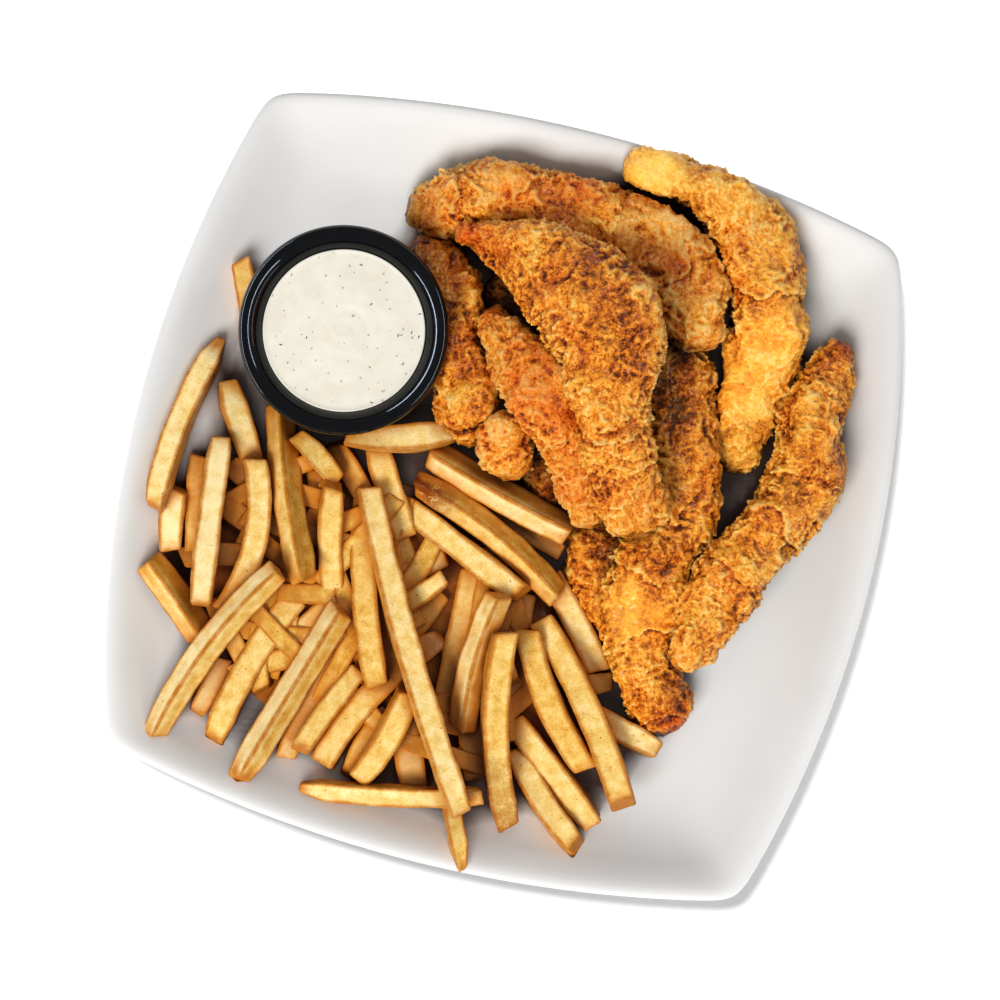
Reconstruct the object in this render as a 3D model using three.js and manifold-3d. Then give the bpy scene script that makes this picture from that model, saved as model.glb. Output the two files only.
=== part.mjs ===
// Fish and chips: a heap of straight-cut chips and eleven battered strips on a bowed square
// porcelain plate, with a round pot of creamy dip.
// Millimetres, +Z up. The origin is under the middle of the plate, on the surface it stands on.

import * as THREE from "three";
import { mergeVertices } from "three/addons/utils/BufferGeometryUtils.js";
import Module from "manifold-3d";

const wasm = await Module();
wasm.setup();

const GAP = 0.35; // clear space kept between two pieces that touch
const TURN = 2 * Math.PI;

// The plate: four bowed sides that meet in small round corners.
const PLATE = {
  halfWidth: 142, // from the middle to the bow of the left and right sides
  halfDepth: 141.6, // from the middle to the bow of the front and back sides
  cornerX: 122.3, // where the bows would meet, before the corner is rounded
  cornerY: 126.5,
  stepsPerSide: 12,
  cornerCrowding: 0.65, // share of the steps' spread that gathers them at the corners
  rimRoundness: 56, // larger is a sharper corner
  wellRoundness: 12,
  wellInset: 40, // how far in from the rim the corners have become as round as the well
};

// Half of the plate's section, as distance in from the rim and height, from the foot round to the well.
const PLATE_SECTION = [
  { inset: 52, z: 2.6 },
  { inset: 50.5, z: 0 },
  { inset: 45, z: 0 },
  { inset: 43, z: 3 },
  { inset: 22, z: 8.2 },
  { inset: 5, z: 18.4 },
  { inset: 0.4, z: 21.6 },
  { inset: 0, z: 23 },
  { inset: 1.8, z: 24.2 },
  { inset: 5, z: 23.6 },
  { inset: 10, z: 20.6 },
  { inset: 17, z: 15.4 },
  { inset: 25, z: 11 },
  { inset: 34, z: 8.4 },
  { inset: 43, z: 7.6 },
];
const LIP_ROW = 8; // the highest row of that section: what follows it is the eating side

// The pot of dip, on the well of the plate.
const POT = {
  x: -72.4,
  y: 45.3,
  height: 38,
  rimRadius: 39,
  baseRadius: 26,
  wallAtRim: 33.4, // outside of the wall just below the rolled rim
  wall: 3.4,
  floor: 3.8,
  footRise: 1.2, // how far the underside is hollowed inside the foot ring
  rimDepth: 7, // of the part that flares outwards
  rimFlare: 5.6, // how much wider the inside is at the top than below that part
  floorRound: 2.4,
  dipBelowRim: 6,
  sides: 28,
};

// The heap is settled on a square height map with this many steps a side, a millimetre apart.
const MAP_HALF = 150;
const MAP_SIDE = 2 * MAP_HALF + 1;

const CHIP_SINK = 1.6; // how far a chip presses into what it lies on, so that the heap is one body
const CHIP_STEEPEST = 0.24; // rise over run of the steepest chip
const CHIP_CHAMFER = 0.24; // of a chip's half width
const CHIP_BEARING = 0.35; // share of its half width that carries a chip: the rest nestles
const CHIP_END = 0.08; // share of its length over which each end draws in
const CHIP_FREE_END = 0.07; // share of its length at each end that carries nothing
const STRIP_BEARING = 0.8;
const STRIP_SINK = 2.6; // how far a strip's soft underside moulds itself to what it lies on
const STRIP_SLACK = 8; // a strip's bends are eased over this far each way along it
const STRIP_FULLNESS = 0.85; // 1 is an oval section, and less is a squarer one
const STRIP_SMOOTH_END = 12; // the batter's relief fades over this much of each end
const STRIP_SIDES = 12;
const STRIP_RING_EVERY = 6.8;

// The chips, lowest first. Each gives its two ends seen from above, how far its middle bows to the left
// of the way from the first end to the second, and its width. edge: a corner of the section is on top.
// tip: the second end is drawn out to this share of the width; blunt ends keep most of it.
const CHIPS_UNDER = [
  { from: [-112, -52], to: [-79, -43], bow: 1, width: 9 },
  { from: [-124, -56], to: [-97, -80], bow: 0.5, width: 12.5, edge: true },
  { from: [-120, -27], to: [-117, -50], bow: -0.8, width: 10 },
  { from: [-115.5, -13], to: [-108, -48], bow: 0.4, width: 8.5 },
  { from: [-103, -13], to: [-77, -27], bow: 0.5, width: 9 },
  { from: [-106, -27], to: [-79, -37], bow: 0, width: 9 },
  { from: [-88, -86], to: [-93, -108], bow: 0, width: 8 },
  { from: [-0.7, -98], to: [19.4, -139.8], bow: 0.3, width: 6.6, tip: 0.45 },
  { from: [-48, -125], to: [19.5, -111], bow: -1.6, width: 7.4, tip: 0.8, startTip: 0.4 },
  { from: [42, -70], to: [80, -79], bow: 0.2, width: 9.5, tip: 0.7 },
  { from: [43, -64], to: [57, -58], bow: 0, width: 9 },
  { from: [27, -92], to: [59, -121.3], bow: -1.8, width: 9.5 },
  { from: [8, -83], to: [16.5, -106], bow: 0, width: 10.5 },
  { from: [-4, -30], to: [-2, -82], bow: -0.2, width: 10 },
  { from: [17, -34], to: [24, -76], bow: -1.9, width: 9 },
  { from: [-14, -41], to: [-21, -58], bow: 0, width: 8.5 },
  { from: [-37, -43], to: [-15, -27], bow: 0, width: 9 },
  { from: [-17, -2], to: [26, -15.5], bow: 1, width: 8.5 },
  { from: [-72, -7], to: [-62, -26], bow: 0, width: 8.5 },
  { from: [-67, 4], to: [-51, -12], bow: 0, width: 9 },
  { from: [-52, 8], to: [-32, -24], bow: -0.6, width: 11 },
  { from: [-41, -66], to: [-56, -116], bow: -2.1, width: 9 },
  { from: [-23, -90], to: [-31.5, -117], bow: -1.5, width: 8 },
  { from: [-19, -87], to: [-5.5, -115.5], bow: 0, width: 11.5 },
  { from: [2, -46], to: [20, -68], bow: 0.5, width: 9.5 },
];
const CHIPS_OVER = [
  { from: [-117.8, 32], to: [-126, -36], bow: -3.1, width: 9, startTip: 0.35 },
  { from: [-112.3, 16.5], to: [-96, -10], bow: -0.3, width: 10.5, startTip: 0.65 },
  { from: [-91, 13], to: [-65, -49], bow: -1.4, width: 11.5, edge: true },
  { from: [-95, -9], to: [-92, -68], bow: 6.7, width: 9.5 },
  { from: [-82, 3.5], to: [-62, -10], bow: 1, width: 8.5 },
  { from: [-63.5, -11], to: [-54, -51], bow: -1.3, width: 9.5 },
  { from: [-66, -54], to: [-84, -116], bow: -2.7, width: 10.5 },
  { from: [-47, -49], to: [-69, -83], bow: -1.3, width: 9.5 },
  { from: [-37, -77], to: [-51, -111], bow: -0.7, width: 8.5 },
  { from: [-9, -57], to: [-42, -115], bow: -4.3, width: 10 },
  { from: [-17, -79], to: [-27.5, -116.5], bow: 2, width: 10 },
  { from: [-14, -35], to: [-33, -56], bow: 0.5, width: 8 },
  { from: [7.5, -36], to: [6.5, -89], bow: -2.5, width: 11, edge: true },
  { from: [25.5, -82], to: [63, -112], bow: 0.3, width: 10 },
  { from: [13, -49], to: [31.6, -119.5], bow: -4.4, width: 10 },
  { from: [21.5, -47], to: [55, -91], bow: -3.1, width: 10.5 },
  { from: [26, -26], to: [51, -55], bow: 0.5, width: 10 },
  { from: [-31, 9.5], to: [28, -7], bow: -0.8, width: 12.5, edge: true },
  { from: [-63, 8.5], to: [-23, 20], bow: -2.4, width: 10 },
  { from: [-109, -5], to: [-100, -67], bow: -0.4, width: 9.5 },
  { from: [-75, -47], to: [-106, -119.2], bow: -3.8, width: 11, edge: true },
  { from: [-49, -56], to: [-71, -127.5], bow: -0.1, width: 11.5, edge: true, tip: 0.7 },
  { from: [-50.5, -12], to: [-28.5, -81], bow: -2.6, width: 10 },
  { from: [-33, -13], to: [15.5, -34], bow: -0.2, width: 10 },
  { from: [-33, -3], to: [29, -31.5], bow: 3.5, width: 11, edge: true },
  { from: [25.5, -42], to: [71.5, -101], bow: 2.5, width: 10.5 },
  { from: [-50.5, -9], to: [13.5, -118], bow: -2.3, width: 9.5 },
];
// This one lies apart from the heap, against the pot.
const CHIP_ALONE = { from: [-118, 62], to: [-105, 32], bow: 0.5, width: 8.5 };

// The mound that ties the bottom chips together, kept below their tops.
const CORE_OUTLINE = [
  [-112, -8], [-84, 2], [-50, 0], [-8, -4], [20, -22], [44, -48],
  [52, -84], [30, -104], [-6, -106], [-46, -108], [-84, -100], [-108, -60],
];
const CORE_MIDDLE = [-28, -54];
const CORE_TOP = 13;
const CORE_BOTTOM = 2; // below the well, so that the plate cuts it to its own form

// The battered strips, lowest first: points of the middle line seen from above, each with its half
// width there, and the greatest thickness. ribs: how deep the cross ridges of the batter are.
const STRIPS_UNDER = [
  {
    name: "strip_buried_back",
    line: [[-27, 76, 8], [-14, 71, 11], [0, 62, 12], [14, 50, 10], [24, 40, 7]],
    thick: 16,
    ribs: 0.5,
    seed: 10,
  },
  {
    name: "strip_buried_middle",
    line: [[-2, 28, 6], [8, 20, 10], [18, 9, 11], [26, 0, 8]],
    thick: 14,
    ribs: 0.5,
    seed: 11,
  },
  {
    name: "strip_buried_front",
    line: [[33, 1, 8], [38, -8, 11.5], [43, -18, 13], [49, -29, 12], [54, -39, 7]],
    thick: 15,
    ribs: 0.6,
    seed: 12,
  },
  {
    name: "strip_crescent",
    line: [[13, 130.5, 4], [20, 131.7, 7], [28, 133, 7.6], [42.4, 130.7, 8.9],
      [55.4, 125.9, 11], [66, 118, 12.6], [74, 109, 13.8], [78, 98, 13.5], [81, 85, 14.3],
      [82.4, 72, 13.5], [82.7, 60, 12.4], [81, 48, 12.2], [80, 38, 10.5], [80.5, 29.5, 6]],
    thick: 21,
    ribs: 0.7,
    seed: 6,
  },
  {
    name: "strip_front",
    line: [[53, 84, 7], [51, 70, 12], [52.5, 56, 14], [57, 42, 14.5], [61.5, 28, 15],
      [63, 14, 15], [62.3, 1, 15.2], [60.4, -11.4, 15.6], [59.7, -25.7, 15.2],
      [62.8, -35.8, 13.6], [66, -44.5, 12.8], [73, -56, 12], [78.5, -64.5, 12], [84, -71.5, 9]],
    thick: 18,
    ribs: 0.6,
    seed: 8,
  },
];
const STRIPS_OVER = [
  {
    name: "strip_right",
    line: [[111.5, 88, 3.5], [108.4, 78.3, 7.2], [106.5, 64, 11], [106, 50, 12.5],
      [108.2, 38, 12.4], [106.1, 25.2, 12.6], [100, 12.9, 11.8], [94.4, 0.8, 12.2],
      [89, -11.4, 12.4], [85.4, -24.7, 11.3], [82.1, -36.6, 9.2], [78.5, -47, 5]],
    thick: 22,
    ribs: 0.7,
    seed: 7,
  },
  {
    name: "strip_by_pot",
    line: [[-51, 91, 6], [-48, 84, 10], [-42, 74, 12], [-35, 62, 12], [-29, 49, 11.5],
      [-24, 37, 12], [-19.5, 26, 11], [-15, 15.5, 5]],
    thick: 18,
    ribs: 0.6,
    seed: 4,
  },
  {
    name: "strip_small",
    line: [[-7, 32, 6], [-5, 26, 10], [-3, 18, 10.5], [0, 10, 8.5], [1, 6, 5]],
    thick: 15,
    ribs: 0.5,
    seed: 9,
  },
  {
    name: "strip_back",
    line: [[-62.5, 98.5, 5], [-51, 99.5, 10], [-39, 106, 12.5], [-25, 109.5, 13.5],
      [-10, 108, 12.5], [5, 108.5, 15], [20, 106.5, 15.5], [34, 102.5, 15.5], [46, 93.5, 15],
      [53.5, 82, 12.5], [58, 70, 8]],
    thick: 20,
    ribs: 0.7,
    seed: 1,
  },
  {
    name: "strip_inner",
    line: [[-22.5, 67.5, 3.5], [-15, 58, 9], [-1.5, 46.5, 12.6], [12, 35, 13], [22, 24, 12],
      [29, 13, 11], [34.5, 4, 9], [38, -3, 6]],
    thick: 19,
    ribs: 0.5,
    seed: 3,
  },
  {
    name: "strip_largest",
    line: [[-42, 90.5, 3.5], [-34, 92, 5.5], [-22, 91, 9.5], [-8, 87, 14.5], [8, 80, 20],
      [21, 69.3, 22.8], [26.3, 54.7, 16.5], [30.7, 41, 13.2], [36.2, 27.1, 12.7],
      [42.8, 14.5, 12.4], [48.7, 4, 11.3], [52, -3, 7.5]],
    thick: 23,
    ribs: 0.6,
    seed: 2,
  },
];

// A repeatable draw between 0 and 1 for each whole number.
function draw(n) {
  const wave = Math.sin(n * 12.9898 + 4.1414) * 43758.5453;
  return wave - Math.floor(wave);
}

function mix(a, b, share) {
  return a + (b - a) * share;
}

// Rings of points joined side by side into one closed skin, with both ends closed on their middles.
function skin(rings) {
  const around = rings[0].length;
  const places = rings.flat().flatMap((p) => [p.x, p.y, p.z]);
  const index = [];
  for (let i = 0; i + 1 < rings.length; i++) {
    for (let j = 0; j < around; j++) {
      const next = (j + 1) % around;
      const a = i * around + j;
      const b = i * around + next;
      index.push(a, b, b + around, a, b + around, a + around);
    }
  }
  for (const [row, forward] of [[0, false], [rings.length - 1, true]]) {
    const middle = rings[row].reduce((sum, p) => sum.add(p), new THREE.Vector3());
    middle.divideScalar(around);
    const hub = places.length / 3;
    places.push(middle.x, middle.y, middle.z);
    for (let j = 0; j < around; j++) {
      const a = row * around + j;
      const b = row * around + ((j + 1) % around);
      index.push(hub, forward ? a : b, forward ? b : a);
    }
  }
  const geometry = new THREE.BufferGeometry();
  geometry.setAttribute("position", new THREE.Float32BufferAttribute(places, 3));
  geometry.setIndex(index);
  return geometry;
}

function solidFrom(geometry) {
  const bare = geometry.clone();
  bare.deleteAttribute("normal");
  bare.deleteAttribute("uv");
  const merged = mergeVertices(bare, 1e-4);
  return new wasm.Manifold(
    new wasm.Mesh({
      numProp: 3,
      vertProperties: new Float32Array(merged.attributes.position.array),
      triVerts: new Uint32Array(merged.index.array),
    }),
  );
}

function geometryFrom(solid) {
  const mesh = solid.getMesh();
  const geometry = new THREE.BufferGeometry();
  geometry.setAttribute("position", new THREE.BufferAttribute(mesh.vertProperties, 3));
  geometry.setIndex(new THREE.BufferAttribute(mesh.triVerts, 1));
  return geometry;
}

function joined(solids) {
  return solids.reduce((whole, one) => whole.add(one));
}

function largestBody(solid) {
  return solid.decompose().reduce((best, one) => (one.volume() > best.volume() ? one : best));
}

// Plate

// Each side is an arc: its radius, and how far its centre lies behind the plate's middle.
function plateSides() {
  const sideArc = (half, along, across, turn) => {
    const rise = half - across;
    const radius = (along * along + rise * rise) / (2 * rise);
    return { radius, back: radius - half, turn };
  };
  const { halfWidth, halfDepth, cornerX, cornerY } = PLATE;
  return [
    sideArc(halfWidth, cornerY, cornerX, 0),
    sideArc(halfDepth, cornerX, cornerY, TURN / 4),
    sideArc(halfWidth, cornerY, cornerX, TURN / 2),
    sideArc(halfDepth, cornerX, cornerY, (3 * TURN) / 4),
  ];
}
const SIDES = plateSides();

// How far the outline, drawn in by inset, lies from the plate's middle in one direction.
function outlineReach(angle, inset) {
  const share = Math.min(1, Math.max(0, inset / PLATE.wellInset));
  const roundness = mix(PLATE.rimRoundness, PLATE.wellRoundness, share);
  let sum = 0;
  for (const side of SIDES) {
    const along = side.back * Math.cos(angle - side.turn);
    const across = side.back * Math.sin(angle - side.turn);
    const radius = side.radius - inset;
    const reach = Math.sqrt(radius * radius - across * across) - along;
    sum += reach ** -roundness;
  }
  return sum ** (-1 / roundness);
}

function plateRing(inset, z) {
  const ring = [];
  for (let side = 0; side < 4; side++) {
    for (let step = 0; step < PLATE.stepsPerSide; step++) {
      const even = -1 + (2 * step) / PLATE.stepsPerSide;
      const crowded = Math.sin((even * TURN) / 4);
      const angle = ((side + mix(even, crowded, PLATE.cornerCrowding) / 2) * TURN) / 4;
      const reach = outlineReach(angle, inset);
      ring.push(new THREE.Vector3(reach * Math.cos(angle), reach * Math.sin(angle), z));
    }
  }
  return ring;
}

function makePlate() {
  return skin(PLATE_SECTION.map((row) => plateRing(row.inset, row.z)));
}

// The plate with its upper side raised by the gap and no hollow beneath, for cutting what lies on it.
function plateKeepOut() {
  const below = [{ inset: 30, z: -4 }, { inset: -GAP, z: 20 }];
  const above = PLATE_SECTION.slice(LIP_ROW - 1).map((row) => ({
    inset: row.inset - GAP,
    z: row.z + GAP,
  }));
  return solidFrom(skin([...below, ...above].map((row) => plateRing(row.inset, row.z))));
}

// The height of the plate's upper side at a place seen from above.
function plateTop(x, y) {
  let inset = Infinity;
  for (const side of SIDES) {
    const centreX = -side.back * Math.cos(side.turn);
    const centreY = -side.back * Math.sin(side.turn);
    inset = Math.min(inset, side.radius - Math.hypot(x - centreX, y - centreY));
  }
  const rows = PLATE_SECTION.slice(LIP_ROW);
  if (inset <= rows[0].inset) return inset < 0 ? -Infinity : rows[0].z;
  for (let i = 1; i < rows.length; i++) {
    if (inset < rows[i].inset) {
      const share = (inset - rows[i - 1].inset) / (rows[i].inset - rows[i - 1].inset);
      return mix(rows[i - 1].z, rows[i].z, share);
    }
  }
  return rows[rows.length - 1].z;
}

const WELL = PLATE_SECTION[PLATE_SECTION.length - 1].z;

// Pot of dip

function potBottom() {
  return WELL + GAP;
}

function lathe(profile) {
  const points = profile.map(([radius, z]) => new THREE.Vector2(radius, z));
  const geometry = new THREE.LatheGeometry(points, POT.sides);
  geometry.rotateX(Math.PI / 2);
  geometry.translate(POT.x, POT.y, potBottom());
  return geometry;
}

// The inside of the pot, where the dip touches it, at a height above the pot's base.
function potInside(z) {
  const nearRim = POT.height - POT.rimDepth;
  const atFloor = POT.baseRadius - POT.wall;
  const below = mix(atFloor, POT.wallAtRim - POT.wall, Math.min(1, z / nearRim));
  const flare = Math.max(0, (z - nearRim) / POT.rimDepth);
  return below + POT.rimFlare * flare ** 1.5;
}

function makePot() {
  const { height, rimRadius, baseRadius, wallAtRim, floor, footRise, floorRound } = POT;
  const outside = [
    [0, footRise], [baseRadius - 4, footRise], [baseRadius - 3, 0], [baseRadius - 0.8, 0],
    [baseRadius, 1], [wallAtRim, height - 8.5], [wallAtRim + 2, height - 6.4],
    [rimRadius - 0.8, height - 5.6], [rimRadius, height - 4], [rimRadius - 0.1, height - 2],
    [rimRadius - 1.1, height - 0.5], [rimRadius - 2.6, height],
  ];
  const inside = [1.2, 3, 5, 7].map((down) => [potInside(height - down), height - down]);
  const corner = [potInside(floor + 2), floor + 2];
  return lathe([...outside, ...inside, corner, [potInside(floor) - floorRound, floor], [0, floor]]);
}

// Everything that the pot takes up, grown by the gap.
function potKeepOut() {
  const { height, rimRadius, baseRadius, wallAtRim } = POT;
  const profile = [
    [0, -6], [baseRadius + GAP, -6], [baseRadius + GAP, 1], [wallAtRim + GAP, height - 8.5],
    [wallAtRim + 2, height - 6.4 - GAP], [rimRadius - 0.5, height - 5.6 - GAP],
    [rimRadius + GAP, height - 4], [rimRadius + GAP, height - 2], [rimRadius - 2, height + GAP],
    [0, height + GAP],
  ];
  return solidFrom(lathe(profile));
}

// The dip lies level, a little higher where it clings to the wall, with a low swirl in the middle.
function makeDip() {
  const level = POT.height - POT.dipBelowRim;
  const floor = POT.floor + GAP;
  const profile = [
    [0, floor], [potInside(floor) - POT.floorRound - GAP, floor],
    [potInside(floor + 2) - GAP, floor + 2], [potInside(level - 1) - GAP, level - 1],
    [potInside(level + 0.4) - GAP, level + 0.4], [25, level - 0.1], [16, level + 0.15],
    [8, level - 0.25], [0, level + 0.2],
  ];
  return lathe(profile);
}

// Height map

const heapMap = new Float32Array(MAP_SIDE * MAP_SIDE);

function cell(x, y) {
  const column = Math.min(MAP_SIDE - 1, Math.max(0, Math.round(x + MAP_HALF)));
  const row = Math.min(MAP_SIDE - 1, Math.max(0, Math.round(y + MAP_HALF)));
  return row * MAP_SIDE + column;
}

function startMap() {
  for (let row = 0; row < MAP_SIDE; row++) {
    for (let column = 0; column < MAP_SIDE; column++) {
      heapMap[row * MAP_SIDE + column] = plateTop(column - MAP_HALF, row - MAP_HALF);
    }
  }
}

// The lowest height that clears the map at each sample of a piece's middle line. rise(across) is how
// far the piece's underside curves up at that share of its half width.
function supports(samples, bearing, rise) {
  return samples.map((s) => {
    let height = -Infinity;
    const reach = bearing * s.half;
    for (let across = -reach; across <= reach; across += 0.7) {
      const ground = heapMap[cell(s.x - across * s.dirY, s.y + across * s.dirX)];
      height = Math.max(height, ground - rise(across, s));
    }
    return height;
  });
}

function raiseMap(samples, heights, fall) {
  samples.forEach((s, i) => {
    for (let across = -s.half; across <= s.half; across += 0.45) {
      const at = cell(s.x - across * s.dirY, s.y + across * s.dirX);
      heapMap[at] = Math.max(heapMap[at], heights[i] - fall(across, s));
    }
  });
}

// Corners of the tight string stretched over the supports, from the first sample to the last.
function tightString(samples, heights) {
  const corners = [];
  samples.forEach((s, i) => {
    const point = { along: s.along, height: heights[i] };
    while (corners.length > 1) {
      const [a, b] = corners.slice(-2);
      const before = (b.height - a.height) * (point.along - a.along);
      const after = (point.height - a.height) * (b.along - a.along);
      if (before > after) break;
      corners.pop();
    }
    corners.push(point);
  });
  return corners;
}

function heightOn(corners, along) {
  const next = Math.max(1, corners.findIndex((c) => c.along >= along));
  const a = corners[next - 1];
  const b = corners[next] ?? a;
  if (a === b) return a.height;
  return mix(a.height, b.height, (along - a.along) / (b.along - a.along));
}

// Chips

function chipSamples(chip) {
  const [x0, y0] = chip.from;
  const [x1, y1] = chip.to;
  const length = Math.hypot(x1 - x0, y1 - y0);
  const leftX = -(y1 - y0) / length;
  const leftY = (x1 - x0) / length;
  const count = Math.ceil(length / 0.7);
  const samples = [];
  for (let i = 0; i <= count; i++) {
    const t = i / count;
    const off = 4 * t * (1 - t) * chip.bow;
    const slope = (4 * (1 - 2 * t) * chip.bow) / length;
    const dirX = (x1 - x0) / length + leftX * slope;
    const dirY = (y1 - y0) / length + leftY * slope;
    const size = Math.hypot(dirX, dirY);
    samples.push({
      t,
      along: t * length,
      x: mix(x0, x1, t) + leftX * off,
      y: mix(y0, y1, t) + leftY * off,
      dirX: dirX / size,
      dirY: dirY / size,
      half: chip.width / 2,
    });
  }
  return samples;
}

// How far a chip's surface is from its own highest or lowest line, at a distance across it.
function chipRound(across, chip) {
  const half = chip.width / 2;
  if (chip.edge) return Math.max(0, Math.abs(across) - CHIP_CHAMFER * half);
  return Math.max(0, Math.abs(across) - (1 - CHIP_CHAMFER) * half);
}

// A chip is stiff, so it rests on two points, one on each side of its middle, unless that would leave
// it steeper than chips lie without sliding.
function settleChip(chip) {
  const samples = chipSamples(chip);
  const round = (across) => chipRound(across, chip);
  const held = samples.filter((s) => Math.abs(s.t - 0.5) < 0.5 - CHIP_FREE_END);
  const bottoms = supports(held, CHIP_BEARING, round);
  const corners = tightString(held, bottoms);
  const middle = samples[samples.length - 1].along / 2;
  const next = Math.max(1, corners.findIndex((c) => c.along >= middle));
  const [a, b] = [corners[next - 1], corners[next]];
  const tightSlope = (b.height - a.height) / (b.along - a.along);
  const slope = Math.min(CHIP_STEEPEST, Math.max(-CHIP_STEEPEST, tightSlope));
  const base = Math.max(...held.map((s, i) => bottoms[i] - slope * s.along)) - CHIP_SINK;
  const lie = (along) => base + slope * along;
  raiseMap(samples, samples.map((s) => lie(s.along) + chip.width), round);
  return { ...chip, samples, lie };
}

// A square with cut corners, or a plain one for the chips that are mostly covered.
function chipSection(half, edge, plain) {
  const cut = half * (1 - (edge ? 1.4 : 1) * CHIP_CHAMFER);
  const turned = edge ? TURN / 8 : 0;
  const points = [];
  for (let side = 0; side < 4; side++) {
    for (const corner of plain ? [half] : [-cut, cut]) {
      const flat = new THREE.Vector2(half, corner);
      points.push(flat.rotateAround(new THREE.Vector2(), (side * TURN) / 4 + turned));
    }
  }
  return points;
}

function chipSolid(chip, grow) {
  const { samples, lie, width, edge, plain } = chip;
  const half = (edge ? width / 2 / Math.SQRT2 / (1 - CHIP_CHAMFER * 0.35) : width / 2) + grow;
  const between = Math.abs(chip.bow) < 1 ? [] : Math.abs(chip.bow) < 2.2 ? [0.5] : [0.33, 0.67];
  const shoulders = plain ? [] : [CHIP_END, 1 - CHIP_END];
  const stops = [0, 1, ...shoulders, ...between].sort();
  const endShare = { 0: chip.startTip ?? 0.86, 1: chip.tip ?? 0.86 };
  const tilt = new THREE.Vector3();
  const rings = stops.map((t) => {
    const s = samples[Math.round(t * (samples.length - 1))];
    const share = endShare[t] ?? 1;
    const forward = new THREE.Vector3(s.dirX, s.dirY, (lie(1) - lie(0))).normalize();
    const left = new THREE.Vector3(-s.dirY, s.dirX, 0);
    const up = tilt.crossVectors(forward, left).clone();
    const past = (t === 0 ? -grow : 0) + (t === 1 ? grow : 0);
    const middle = new THREE.Vector3(s.x, s.y, lie(s.along) + width / 2);
    middle.addScaledVector(forward, past);
    return chipSection(half * share, edge, plain).map((p) =>
      middle.clone().addScaledVector(left, p.x).addScaledVector(up, p.y),
    );
  });
  return solidFrom(skin(rings));
}

function coreSolid(grow) {
  const outline = new THREE.CatmullRomCurve3(
    CORE_OUTLINE.map(([x, y]) => new THREE.Vector3(x, y, 0)),
    true,
  );
  const points = outline.getPoints(20).slice(0, -1).reverse();
  const [middleX, middleY] = CORE_MIDDLE;
  const ring = (share, z) => points.map((p) => {
    const size = share * (1 + 0.04 * Math.sin(p.x / 9 + p.y / 7));
    return new THREE.Vector3(mix(middleX, p.x, size), mix(middleY, p.y, size), z + grow);
  });
  return solidFrom(skin([
    ring(0.9, CORE_BOTTOM),
    ring(0.97, CORE_TOP - 4),
    ring(0.88, CORE_TOP - 0.6),
    ring(0.5, CORE_TOP + 0.4),
  ]));
}

// Battered strips

function stripCurve(strip) {
  return new THREE.CatmullRomCurve3(
    strip.line.map(([x, y, half]) => new THREE.Vector3(x, y, half)),
    false,
    "centripetal",
  );
}

function stripSamples(strip, every) {
  const curve = stripCurve(strip);
  const points = curve.getPoints(strip.line.length * 12);
  const run = [0];
  for (let i = 1; i < points.length; i++) {
    run.push(run[i - 1] + Math.hypot(points[i].x - points[i - 1].x, points[i].y - points[i - 1].y));
  }
  const length = run[run.length - 1];
  const count = Math.ceil(length / every);
  const samples = [];
  for (let k = 0; k <= count; k++) {
    const along = (length * k) / count;
    const next = Math.max(1, run.findIndex((r) => r >= along - 1e-9));
    const share = (along - run[next - 1]) / (run[next] - run[next - 1]);
    const place = points[next - 1].clone().lerp(points[next], share);
    const step = points[next].clone().sub(points[next - 1]);
    const size = Math.hypot(step.x, step.y);
    samples.push({
      along,
      length,
      x: place.x,
      y: place.y,
      dirX: step.x / size,
      dirY: step.y / size,
      half: place.z,
    });
  }
  return samples;
}

// Half the thickness at a place along the strip: it thins towards its ends, as its width does.
function halfThick(strip, half) {
  const widest = Math.max(...strip.line.map((p) => p[2]));
  return (strip.thick / 2) * (0.35 + 0.65 * (half / widest) ** 0.7);
}

function stripRound(across, strip, s) {
  const share = Math.min(1, Math.abs(across) / s.half);
  return halfThick(strip, s.half) * (1 - Math.sqrt(1 - share * share));
}

// A strip is soft enough to lie over whatever is under it, like a slack string.
function settleStrip(strip) {
  const samples = stripSamples(strip, 1);
  const rise = (across, s) => 0.75 * stripRound(across, strip, s);
  const corners = tightString(samples, supports(samples, STRIP_BEARING, rise));
  const tight = samples.map((s) => heightOn(corners, s.along));
  const slack = tight.map((_, i) => {
    let sum = 0;
    for (let k = -STRIP_SLACK; k <= STRIP_SLACK; k++) {
      sum += tight[Math.min(tight.length - 1, Math.max(0, i + k))];
    }
    return sum / (2 * STRIP_SLACK + 1) - STRIP_SINK;
  });
  const tops = samples.map((s, i) => slack[i] + 2 * halfThick(strip, s.half));
  raiseMap(samples, tops, (across, s) => stripRound(across, strip, s));
  const lie = (along) => slack[Math.min(slack.length - 1, Math.round(along * (slack.length - 1)))];
  return { ...strip, lie };
}

// The large lumps and cross ridges of the batter, in millimetres out from the smooth strip.
function batterRelief(strip, along, angle) {
  const phase = (k) => TURN * draw(strip.seed * 10 + k);
  const bend = 1.5 * Math.sin(angle + phase(1));
  const ridge = Math.abs(Math.sin(along / 5.4 + bend + phase(2))) - 0.6;
  const lump = Math.sin(2 * angle + along / 8.3 + phase(3));
  const small = Math.sin(3 * angle - along / 4.6 + phase(4));
  return strip.ribs * ridge * 1.5 + 0.9 * lump + 0.6 * small;
}

// Makes a cosine or sine fuller, so that a section is flatter on top and steeper at its sides.
function rounded(value) {
  return Math.sign(value) * Math.abs(value) ** STRIP_FULLNESS;
}

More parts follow.
